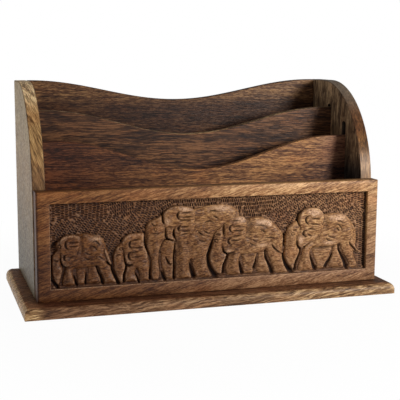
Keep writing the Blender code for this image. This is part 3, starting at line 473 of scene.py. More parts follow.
# Colours, as linear values. A wood has three: its dark streaks, its body and its pale streaks.
PANEL_WOOD = ((0.130, 0.050, 0.020), (0.395, 0.200, 0.085), (0.760, 0.470, 0.235))
FRONT_DIVIDER_WOOD = ((0.030, 0.008, 0.005), (0.170, 0.068, 0.025), (0.480, 0.235, 0.085))
MIDDLE_DIVIDER_WOOD = ((0.012, 0.004, 0.003), (0.060, 0.023, 0.009), (0.230, 0.100, 0.040))
BACK_WOOD = ((0.024, 0.009, 0.004), (0.120, 0.050, 0.020), (0.330, 0.175, 0.070))
LEFT_SIDE_WOOD = ((0.090, 0.048, 0.020), (0.310, 0.190, 0.085), (0.540, 0.370, 0.180))
RIGHT_SIDE_WOOD = ((0.045, 0.024, 0.012), (0.150, 0.090, 0.046), (0.360, 0.230, 0.120))
BASE_WOOD = ((0.055, 0.024, 0.011), (0.240, 0.130, 0.058), (0.600, 0.400, 0.210))
BEECH_WOOD = ((0.420, 0.250, 0.120), (0.540, 0.350, 0.180), (0.640, 0.450, 0.260))
# Dark end grain for the housings, painting the shade in the slots as well
RAW_CUT_AND_SHADE_WOOD = ((0.014, 0.009, 0.006), (0.045, 0.030, 0.020), (0.110, 0.080, 0.055))
PORE = (0.016, 0.007, 0.004)
# The dark laid by stain and painted shade in the cuts and hollows
DARK_STAIN_AND_SHADE = (0.016, 0.007, 0.005)
# Pale wood, for wear and painted highlights on the carving
RUBBED_AND_HIGHLIGHT = (0.620, 0.385, 0.240)
DARK_ARRIS = (0.42, 0.36, 0.34)
RED_TINT = (1.0, 0.78, 0.68)
CARVED_TINT = (0.98, 0.95, 0.80)
GROUND_TINT = (0.62, 0.57, 0.62)
MOTTLE_STRENGTH = 0.58
STEEL = (0.62, 0.60, 0.56)
DULL_STEEL = (0.40, 0.37, 0.32)
FLOOR_GREY = 0.86

# How the woods are tinted along the boards; the tints marked below paint light and shade. What a
# shade's numbers mean stands in shaded.
BASE_SHADES = (
    ("X", 110, 10, (0.70, 0.64, 0.64)),
    ("X", 0, -130, (0.76, 0.66, 0.64)),
    ("flat", 0.80, 0.98, (0.48, 0.34, 0.30)),
    ("X", -146, -158, (2.8, 3.6, 3.6)),
)
LEFT_SIDE_SHADES = (
    ("end", 0.8, 0.97, (0.300, 0.185, 0.083), 0.6),
    ("Z", 130, 20, (0.27, 0.28, 0.21)),
    # Paler and bluer towards the top: painted sheen
    ("Z", 110, 170, (1.10, 1.24, 1.36)),
)
LEFT_EDGE_SHADES = (
    ("Z", -2, -1, (1.16, 1.06, 0.92)),
    # Paler where the edge turns up to the top: painted light
    ("Z", 160, 184, (2.3, 2.8, 3.8)),
    ("Z", 130, 108, (0.58, 0.56, 0.58)),
)
RIGHT_SIDE_SHADES = (
    # Painted light over the inner face, and painted shade towards its bottom
    ("Z", 100, 140, (1.6, 1.65, 1.75)),
    ("Z", 130, 103, (0.20, 0.26, 0.42)),
)
RIGHT_EDGE_SHADES = (
    # Paler, greyer and smoother where the edge faces up: painted reflection
    ("flat", 0.55, 0.90, (1.3, 1.5, 1.8)),
    ("flat", 0.45, 0.80, (0.145, 0.110, 0.082), 0.6),
    ("Z", 180, 155, (0.60, 0.40, 0.28)),
    ("Z", 146, 134, (1.3, 1.4, 1.1)),
    ("Z", 130, 112, (1.75, 2.15, 3.5)),
    ("Z", 130, 112, (0.380, 0.265, 0.180), 0.35),
)
BACK_SHADES = (
    # Painted shade low down, above the middle divider
    ("Z", 178, 160, (0.38, 0.31, 0.31)),
    ("flat", 0.4, 0.9, (0.50, 0.42, 0.45)),
)
MIDDLE_DIVIDER_SHADES = (
    ("X", -20, -130, (0.88, 0.88, 0.92)),
    # Painted highlight along the top arris
    ("flat", 0.3, 0.8, (2.0, 3.0, 3.6)),
)
FRONT_DIVIDER_SHADES = (
    ("X", 60, -130, (0.33, 0.22, 0.22)),
    # Painted shadow of the right side board over the divider's right end
    ("X", 98, 136, (0.50, 0.48, 0.70)),
)
PANEL_SHADES = (
    ("X", 120, -130, (0.42, 0.30, 0.20)),
    ("X", 138, 147, (0.80, 0.80, 0.80)),
    ("Z", 95, 25, (0.60, 0.56, 0.60)),
    ("X", -149.8, -151.4, (0.35, 0.28, 0.20)),
    ("end", 0.75, 0.95, (2.0, 2.0, 1.7)),
)


# Node helpers

class Graph:
    """A short way to write a material's nodes."""

    def __init__(self, material):
        material.use_nodes = True
        self.tree = material.node_tree
        self.tree.nodes.clear()
        self.output = self.add("ShaderNodeOutputMaterial")

    def add(self, kind, **settings):
        node = self.tree.nodes.new(kind)
        for name, value in settings.items():
            setattr(node, name, value)
        return node

    def link(self, source, target):
        self.tree.links.new(source, target)

    def feed(self, socket, value):
        if isinstance(value, bpy.types.NodeSocket):
            self.link(value, socket)
        elif isinstance(value, tuple) and len(value) == 3 and socket.type == "RGBA":
            socket.default_value = (*value, 1.0)
        else:
            socket.default_value = value

    def math(self, operation, a, b=0.0, c=None, clamp=False):
        node = self.add("ShaderNodeMath", operation=operation, use_clamp=clamp)
        self.feed(node.inputs[0], a)
        self.feed(node.inputs[1], b)
        if c is not None:
            self.feed(node.inputs[2], c)
        return node.outputs[0]

    def span(self, value, low, high, to_low=0.0, to_high=1.0):
        """Maps value from low..high to to_low..to_high along a smooth step."""
        node = self.add("ShaderNodeMapRange", interpolation_type="SMOOTHSTEP", clamp=True)
        for socket, number in zip(node.inputs, (value, low, high, to_low, to_high)):
            self.feed(socket, number)
        return node.outputs[0]

    def blend(self, factor, a, b, mode="MIX"):
        node = self.add("ShaderNodeMix", data_type="RGBA", blend_type=mode, clamp_factor=True)
        self.feed(node.inputs["Factor"], factor)
        colours = [socket for socket in node.inputs if socket.type == "RGBA"]
        self.feed(colours[0], a)
        self.feed(colours[1], b)
        return next(socket for socket in node.outputs if socket.type == "RGBA")

    def stretch(self, vector, scale):
        """Scales a vector by three numbers."""
        node = self.add("ShaderNodeVectorMath", operation="MULTIPLY")
        self.link(vector, node.inputs[0])
        node.inputs[1].default_value = scale
        return node.outputs[0]

    def shift(self, vector, other):
        node = self.add("ShaderNodeVectorMath", operation="ADD")
        self.link(vector, node.inputs[0])
        self.feed(node.inputs[1], other)
        return node.outputs[0]

    def noise(self, vector, scale=1.0, detail=2.0, roughness=0.5):
        node = self.add("ShaderNodeTexNoise")
        self.link(vector, node.inputs["Vector"])
        node.inputs["Scale"].default_value = scale
        node.inputs["Detail"].default_value = detail
        node.inputs["Roughness"].default_value = roughness
        return node.outputs["Fac"]

    def grain(self, vector, along, across, detail=2.0, roughness=0.5):
        """Noise that is drawn out along the grain."""
        return self.noise(self.stretch(vector, (along, across, across)), 1.0, detail, roughness)

    def split(self, vector):
        """The parts X, Y and Z of a vector."""
        node = self.add("ShaderNodeSeparateXYZ")
        self.link(vector, node.inputs[0])
        return node.outputs

    def place(self):
        return self.add("ShaderNodeTexCoord").outputs["Object"]

    def millimetres(self):
        return self.stretch(self.place(), (1 / MM, 1 / MM, 1 / MM))

    def normal(self):
        return self.split(self.add("ShaderNodeNewGeometry").outputs["Normal"])

    def surface(self, colour, rough, height, strength, depth, settings):
        """Ends the material in one shader, with a bump of this strength and depth."""
        bump = self.add("ShaderNodeBump")
        bump.inputs["Strength"].default_value = strength
        bump.inputs["Distance"].default_value = depth
        self.link(height, bump.inputs["Height"])
        shader = self.add("ShaderNodeBsdfPrincipled")
        values = {"Base Color": colour, "Roughness": rough, "Normal": bump.outputs[0], **settings}
        for name, value in values.items():
            self.feed(shader.inputs[name], value)
        self.link(shader.outputs[0], self.output.inputs["Surface"])


def grain_space(g, along, seed):
    """The place of a point in millimetres, turned so that X runs along the grain."""
    turned = g.add("ShaderNodeMapping")
    turns = {"x": (0, 0, 0), "z": (0, math.pi / 2, 0)}
    turned.inputs["Rotation"].default_value = turns[along]
    turned.inputs["Scale"].default_value = (1 / MM, 1 / MM, 1 / MM)
    g.link(g.place(), turned.inputs["Vector"])
    return g.shift(turned.outputs["Vector"], seed)


def tree_place(g, space, pith, tilt, wave):
    """Where a point lies in the tree: along the grain, and across and deep from the pith line.
    The grain wanders across the board in long and short waves."""
    slow = g.math("SUBTRACT", g.grain(space, 0.010, 0.022), 0.5)
    quick = g.math("SUBTRACT", g.grain(space, 0.060, 0.10), 0.5)
    drift = g.math("MULTIPLY_ADD", quick, wave * 0.45, g.math("MULTIPLY", slow, wave * 2))
    axes = g.split(space)
    lean = g.math("MULTIPLY", axes["X"], tilt)
    across = g.math("ADD", g.math("ADD", axes["Y"], pith[0]), drift)
    deep = g.math("ADD", g.math("ADD", axes["Z"], pith[1]), g.math("ADD", lean, drift))
    return axes["X"], across, deep


def ring_light(g, space, across, deep, rings):
    """The growth rings round the pith line, from 0 to 1."""
    radius = g.math("SQRT", g.math("ADD", g.math("POWER", across, 2.0), g.math("POWER", deep, 2.0)))
    jitter = g.grain(space, 0.02, 0.10, detail=3.0)
    turn = g.math("MULTIPLY_ADD", radius, 2 * math.pi / rings, g.math("MULTIPLY", jitter, 9.0))
    return g.math("MULTIPLY_ADD", g.math("SINE", turn), 0.5, 0.5)


def wood(name, along, seed, colours, rings=9.0, pith=(35.0, -60.0), tilt=0.02, wave=4.0,
         figure=0.5, gloss=0.46, coat=0.05, shades=(), edge_shades=(), carved=False, slack=1.0,
         fleck=0.09):
    """Varnished open-grained hardwood. Growth rings round a pith line near the board, streaks,
    dashes and pores along the grain, and broad patches of stain. A side board has other shades
    on its curved edge than on its faces. With a slack under 1 the figure changes more slowly
    across the board than through its thickness, as in a flat-sawn board."""
    material = bpy.data.materials.new(name)
    g = Graph(material)
    space = grain_space(g, along, seed)
    x, across, deep = tree_place(g, space, pith, tilt, wave)
    ring = ring_light(g, space, across, deep, rings)
    bent = g.add("ShaderNodeCombineXYZ")
    for socket, value in zip(bent.inputs, (x, g.math("MULTIPLY", across, slack), deep)):
        g.link(value, socket)
    bent = bent.outputs[0]
    bands = g.grain(bent, 0.008, 0.17)
    streaks = g.grain(bent, 0.045, 0.80, roughness=0.55)
    hairs = g.grain(bent, 0.30, 2.8, detail=1.0)
    patches = g.grain(space, 0.016, 0.035, detail=3.0, roughness=0.6)
    dash = g.span(g.grain(bent, fleck, 1.50, roughness=0.6), 0.40, 0.60)
    pore = g.span(hairs, 0.60, 0.70)
    # how light the wood is, from 0 to 1
    tone = g.math("MULTIPLY", g.span(bands, 0.36, 0.64), 0.20)
    tone = g.math("MULTIPLY_ADD", g.span(streaks, 0.37, 0.63), 0.34, tone)
    tone = g.math("MULTIPLY_ADD", dash, 0.36, tone)
    tone = g.math("MULTIPLY_ADD", ring, 0.20 * figure, tone)
    if carved:
        tone = cut_grain(g, tone)
    tone = g.math("MULTIPLY_ADD", g.math("SUBTRACT", patches, 0.5), 0.60, tone, clamp=True)
    colour = g.blend(g.span(tone, 0.08, 0.50), colours[0], colours[1])
    colour = g.blend(g.span(tone, 0.46, 0.90), colour, colours[2])
    red = g.span(g.grain(space, 0.03, 0.07), 0.5, 0.75, 0.0, 0.45)
    colour = g.blend(red, colour, RED_TINT, "MULTIPLY")
    colour = g.blend(g.math("MULTIPLY", pore, 0.55), colour, PORE)
    face = shaded(g, colour, shades)
    if edge_shades:
        face = edged(g, shaded(g, colour, edge_shades), face)
    height = g.math("MULTIPLY_ADD", dash, 0.6, g.math("MULTIPLY_ADD", pore, -0.8, hairs))
    rough = g.math("MULTIPLY_ADD", dash, -0.10, g.math("MULTIPLY_ADD", pore, 0.22, gloss + 0.06))
    if carved:
        face, rough = carve_colour(g, face, rough)
    g.surface(face, rough, height, 0.35, 0.25 * MM,
              {"Coat Weight": coat, "Coat Roughness": 0.28, "Specular IOR Level": 0.19})
    return material


def edged(g, edge, face):
    """One colour on a side board's curved edge, one on its faces, and dark arrises between."""
    sideways = g.math("ABSOLUTE", g.normal()["X"])
    colour = g.blend(g.span(sideways, 0.4, 0.8), edge, face)
    arris = g.math("MULTIPLY", g.span(sideways, 0.2, 0.5), g.span(sideways, 0.85, 0.99, 1.0, 0.0))
    return g.blend(arris, colour, DARK_ARRIS, "MULTIPLY")


def cut_grain(g, tone):
    """Inside the recess the gouge has cut across the grain, so that it shows as a mottle."""
    carved = g.add("ShaderNodeVertexColor", layer_name="carve").outputs["Alpha"]
    mottle = g.grain(g.millimetres(), 0.22, 1.1, roughness=0.6)
    mottled = g.math("MULTIPLY_ADD", g.span(mottle, 0.38, 0.62), 0.94, 0.04)
    share = g.math("MULTIPLY", g.math("GREATER_THAN", carved, 0.1), MOTTLE_STRENGTH)
    return g.math("MULTIPLY_ADD", g.math("SUBTRACT", mottled, tone), share, tone)


def shaded(g, colour, shades):
    """Tints a colour along an axis of the rack, one shade after another. A shade is an axis, a
    place in millimetres where it starts and one where it is full, and its tint. The axes "flat"
    and "end" go by how much a face looks up or along the rack, from 0 to 1. A shade with a fifth
    number covers the wood with its colour to that share."""
    place = g.split(g.millimetres())
    facing = g.normal()
    values = {"X": place["X"], "Z": place["Z"], "flat": facing["Z"],
              "end": g.math("ABSOLUTE", facing["X"])}
    for axis, start, full, tint, *cover in shades:
        value = values[axis]
        share = g.span(value, start, full, 0.0, *(cover or [1.0]))
        colour = g.blend(share, colour, tint, "MIX" if cover else "MULTIPLY")
    return colour


def carve_colour(g, colour, rough):
    """Stain and painted shade in the cuts and hollows, wear and painted highlights making the high
    places pale, and specks where the gouge has opened the grain, from the carve attribute."""
    carve = g.add("ShaderNodeVertexColor", layer_name="carve")
    parts = g.add("ShaderNodeSeparateColor")
    g.link(carve.outputs["Color"], parts.inputs[0])
    pooled_stain_and_shade, wear_and_highlight, hollow = parts.outputs["Red"], parts.outputs["Green"], parts.outputs["Blue"]
    inside = g.math("GREATER_THAN", carve.outputs["Alpha"], 0.1)
    colour = g.blend(inside, colour, CARVED_TINT, "MULTIPLY")
    colour = g.blend(carve.outputs["Alpha"], colour, GROUND_TINT, "MULTIPLY")
    specks = g.noise(g.millimetres(), scale=0.8, detail=3.0, roughness=0.7)
    # Wear and painted highlights make the high places pale
    rubbed_and_lit = g.blend(0.5, colour, RUBBED_AND_HIGHLIGHT)
    rubbed_and_lit = g.blend(g.span(wear_and_highlight, 0.5, 1.0), rubbed_and_lit, RUBBED_AND_HIGHLIGHT)
    colour = g.blend(g.math("MULTIPLY", wear_and_highlight, g.span(specks, 0.36, 0.58, 0.15, 0.95)), colour, rubbed_and_lit)
    # Painted shade and stain in the hollows
    colour = g.blend(g.math("MULTIPLY", hollow, 0.80), colour, DARK_STAIN_AND_SHADE)
    # Stain and painted shade in the cuts
    colour = g.blend(g.math("MULTIPLY", pooled_stain_and_shade, 0.97), colour, DARK_STAIN_AND_SHADE)
    rough = g.math("MULTIPLY_ADD", pooled_stain_and_shade, 0.30, rough)
    return colour, rough


def metal(name):
    """Zinc-plated steel with fine turning marks and dull stains."""
    material = bpy.data.materials.new(name)
    g = Graph(material)
    place = g.place()
    cloud = g.noise(place, scale=420.0, detail=4.0)
    fine = g.noise(g.stretch(place, (900.0, 900.0, 6000.0)), detail=3.0)
    tinted = g.blend(g.span(cloud, 0.35, 0.75), STEEL, DULL_STEEL)
    rough = g.span(cloud, 0.3, 0.8, 0.28, 0.50)
    g.surface(tinted, rough, fine, 0.25, 0.05 * MM, {"Metallic": 1.0})
    return material


# Boards

def dress(item, material):
    item.data.materials.clear()
    item.data.materials.append(material)


def finish_piece(item, node, material):
    """Hands a new piece over to the frame in the place of a CAD node."""
    dress(item, material)
    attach(item, "root")
    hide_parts(node)
    return item


def new_object(name, data):
    item = bpy.data.objects.new(name, data)
    bpy.context.scene.collection.objects.link(item)
    return item


def mesh_object(name, work):
    """Makes an object of a bmesh, which ends there."""
    mesh = bpy.data.meshes.new(name)
    work.to_mesh(mesh)
    work.free()
    return new_object(name, mesh)


def round_edges(work, edges, radius, segments):
    bmesh.ops.bevel(work, geom=edges, offset=radius, segments=segments, profile=0.5,
                    affect="EDGES", clamp_overlap=True)


def edges_over(work, angle):
    return [edge for edge in work.edges if edge.calc_face_angle(0.0) > angle]


def prism(name, outline, low, high, plane, radius=BOARD_EDGE):
    """A board with rounded edges. In plane "front" the outline is in X and Z and the board lies
    from low to high in Y. In plane "side" it is in Y and Z, and the board lies in X."""
    work = bmesh.new()
    def corner(point, depth):
        return (point[0], depth, point[1]) if plane == "front" else (depth, point[0], point[1])
    near = [work.verts.new(corner(point, low)) for point in outline]
    far = [work.verts.new(corner(point, high)) for point in outline]
    work.faces.new(near)
    work.faces.new(far[::-1])
    for index in range(len(outline)):
        after = (index + 1) % len(outline)
        work.faces.new((near[after], near[index], far[index], far[after]))
    bmesh.ops.recalc_face_normals(work, faces=work.faces)
    round_edges(work, edges_over(work, CORNER_ANGLE), radius, EDGE_SEGMENTS)
    return mesh_object(name, work)


def smooth_board(item):
    item.data.shade_smooth()
    item.data.set_sharp_from_angle(angle=SMOOTH_ANGLE)
    weigh = item.modifiers.new("Flat faces", "WEIGHTED_NORMAL")
    weigh.keep_sharp = True
    weigh.weight = FLAT_FACE_WEIGHT


def scooped_outline(node):
    """The outline of a cross board in X and Z: square below, one cosine wave on top."""
    low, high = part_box(node)
    scoop, flat = SCOOPS[node]
    reach = high[0] - flat
    points = [(low[0], low[2]), (high[0], low[2]), (high[0], high[2])]
    for step in range(SCOOP_STEPS + 1):
        along = reach * (1 - 2 * step / SCOOP_STEPS)
        depth = scoop * (1 + math.cos(math.pi * along / reach)) / 2
        points.append((along, high[2] - depth))
    points.append((low[0], high[2]))
    return points


def make_cross_board(node, material):
    low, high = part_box(node)
    item = prism(f"{node}_board", scooped_outline(node), low[1], high[1], "front")
    smooth_board(item)
    return finish_piece(item, node, material)


def side_outline(low, high):
    """The outline of a side board in Y and Z: a flat top, then a quarter of an ellipse."""
    arc_y = high[1] - SIDE_FLAT_TOP
    points = [(high[1], low[2]), (high[1], high[2])]
    for step in range(ARC_STEPS + 1):
        turn = math.pi / 2 * step / ARC_STEPS
        points.append((arc_y - (arc_y - low[1]) * math.sin(turn),
                       high[2] - SIDE_ARC_DROP * (1 - math.cos(turn))))
    points.append((low[1], low[2]))
    return points


def housing_outline(node, overrun):
    """The stopped groove for a divider's end, in Y and Z, with a round top end."""
    low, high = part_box(node)
    middle = (low[1] + high[1]) / 2
    radius = (high[1] - low[1]) / 2 + HOUSING_GAP
    end = high[2] + overrun - radius
    points = [(middle - radius, low[2] - CUT_OVERRUN), (middle + radius, low[2] - CUT_OVERRUN)]
    for step in range(HOUSING_STEPS + 1):
        turn = math.pi * step / HOUSING_STEPS
        points.append((middle + radius * math.cos(turn), end + radius * math.sin(turn)))
    return points


def make_side(node, material, raw_and_shade):
    low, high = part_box(node)
    hand = -1 if low[0] < 0 else 1
    inner = high[0] if hand < 0 else low[0]
    item = prism(f"{node}_board", side_outline(low, high), low[0], high[0], "side")
    cutters = []
    for divider, overrun in HOUSINGS:
        ends = sorted((inner + hand * HOUSING_DEPTH, inner - hand * CUT_OVERRUN))
        outline = housing_outline(divider, overrun)
        cutter = prism(f"{node}_cut", outline, ends[0], ends[1], "side", radius=CUTTER_EDGE)
        step = item.modifiers.new("Housing", "BOOLEAN")
        step.object = cutter
        cutters.append(cutter)
    settle(item)
    for cutter in cutters:
        bpy.data.objects.remove(cutter, do_unlink=True)
    smooth_board(item)
    finish_piece(item, node, material)
    # The housing's walls get the dark raw-cut wood, which also paints the shade in the slot
    item.data.materials.append(raw_and_shade)
    for face in item.data.polygons:
        depth = (face.center.x - inner) * hand
        housed = any(in_housing(face.center, divider, overrun) for divider, overrun in HOUSINGS)
        if housed and PICK_SKIN < depth < HOUSING_DEPTH + PICK_REACH / 2:
            face.material_index = 1


def in_housing(place, divider, overrun):
    low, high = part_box(divider)
    over_width = low[1] - PICK_REACH < place.y < high[1] + PICK_REACH
    return over_width and place.z < high[2] + overrun + PICK_REACH / 2


def settle(item):
    """Applies an object's modifiers to its mesh."""
    bpy.context.view_layer.update()
    graph = bpy.context.evaluated_depsgraph_get()
    mesh = bpy.data.meshes.new_from_object(item.evaluated_get(graph))
    item.modifiers.clear()
    item.data = mesh


def make_base(material):
    """The base board, with its rounded nose along the front and both ends."""
    low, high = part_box("base_board")
    work = bmesh.new()
    bmesh.ops.create_cube(work, size=1)
    size = Vector(high) - Vector(low)
    middle = (Vector(high) + Vector(low)) / 2
    bmesh.ops.scale(work, vec=size, verts=work.verts)
    bmesh.ops.translate(work, vec=middle, verts=work.verts)
    nose = []
    for edge in work.edges:
        centre = (edge.verts[0].co + edge.verts[1].co) / 2
        on_top = centre.z > high[2] - PICK_REACH
        at_front = centre.y < low[1] + PICK_REACH
        at_end = abs(centre.x) > high[0] - PICK_REACH
        if on_top and (at_front or at_end):
            nose.append(edge)
    round_edges(work, nose, NOSE_RADIUS, NOSE_SEGMENTS)
    round_edges(work, edges_over(work, BASE_CORNER_ANGLE), PANEL_EDGE, FINE_SEGMENTS)
    for vertex in work.verts:
        vertex.co = [min(max(value, least), most) for value, least, most in zip(vertex.co, low, high)]
    item = mesh_object("base_board_moulded", work)
    smooth_board(item)
    return finish_piece(item, "base_board", material)


# The carved front board, worked out in millimetres over the recess

def closed_curve(points, steps=OUTLINE_STEPS):
    """A smooth closed line through the points."""
    knots = np.array(points)
    before, after, beyond = np.roll(knots, 1, 0), np.roll(knots, -1, 0), np.roll(knots, -2, 0)
    pieces = [curve_step(before, knots, after, beyond, step / steps) for step in range(steps)]
    return np.stack(pieces, 1).reshape(-1, 2)


def open_curve(points, steps=OUTLINE_STEPS):
    """A smooth open line through the points."""
    knots = np.array(points)
    padded = np.vstack([2 * knots[0] - knots[1], knots, 2 * knots[-1] - knots[-2]])
    before, here, after, beyond = padded[:-3], padded[1:-2], padded[2:-1], padded[3:]
    pieces = [curve_step(before, here, after, beyond, step / steps) for step in range(steps)]
    return np.vstack([np.stack(pieces, 1).reshape(-1, 2), knots[-1:]])


def curve_step(before, here, after, beyond, t):
    return 0.5 * (2 * here + (after - before) * t
                  + (2 * before - 5 * here + 4 * after - beyond) * t ** 2
                  + (3 * here - before - 3 * after + beyond) * t ** 3)


def line_distance(points, line):
    """For each point, its distance to the line and how far along the line that is, 0 to 1."""
    start, step = line[:-1], np.diff(line, axis=0)
    run = np.maximum((step ** 2).sum(1), 1e-12)
    best = np.full(len(points), np.inf)
    where = np.zeros(len(points))
    lengths = np.concatenate([[0.0], np.cumsum(np.sqrt(run))])
    for index in range(len(step)):
        offset = points - start[index]
        along = np.clip(offset @ step[index] / run[index], 0, 1)
        gap = ((offset - along[:, None] * step[index]) ** 2).sum(1)
        closer = gap < best
        best[closer] = gap[closer]
        where[closer] = lengths[index] + along[closer] * (lengths[index + 1] - lengths[index])
    return np.sqrt(best), where / lengths[-1]


def inside_distance(points, outline):
    """Distance to a closed outline, positive inside it."""
    closed = np.vstack([outline, outline[:1]])
    gap, _ = line_distance(points, closed)
    crossings = np.zeros(len(points), int)
    for (x0, z0), (x1, z1) in zip(closed[:-1], closed[1:]):
        spans = (z0 > points[:, 1]) != (z1 > points[:, 1])
        if z0 != z1:
            meet = x0 + (points[:, 1] - z0) * (x1 - x0) / (z1 - z0)
            crossings += spans & (points[:, 0] < meet)
    return np.where(crossings % 2 == 1, gap, -gap)


def soft_noise(shape, cell, seed):
    """Smooth random heights from -1 to 1, with bumps about cell grid steps wide."""
    rng = np.random.default_rng(seed)
    rows, columns = (int(size / cell) + 3 for size in shape)
    coarse = rng.uniform(-1, 1, (rows, columns))
    def weights(size):
        place = np.arange(size) / cell
        first = place.astype(int)
        part = place - first
        return first, part * part * (3 - 2 * part)
    row, row_part = weights(shape[0])
    column, column_part = weights(shape[1])
    def across(line):
        return line[:, column] * (1 - column_part) + line[:, column + 1] * column_part
    return across(coarse[row]) * (1 - row_part[:, None]) + across(coarse[row + 1]) * row_part[:, None]


def blurred(field, radius):
    """A field smoothed by three box filters of this radius in grid steps."""
    for _ in range(3):
        for axis in (0, 1):
            padded = np.pad(field, [(radius + 1, radius) if a == axis else (0, 0) for a in (0, 1)],
                            mode="edge")
            total = np.cumsum(padded, axis=axis)
            size = field.shape[axis]
            high = np.take(total, np.arange(size) + 2 * radius + 1, axis=axis)
            low = np.take(total, np.arange(size), axis=axis)
            field = (high - low) / (2 * radius + 1)
    return field


def smooth_step(value, low, high):
    t = np.clip((value - low) / (high - low), 0, 1)
    return t * t * (3 - 2 * t)


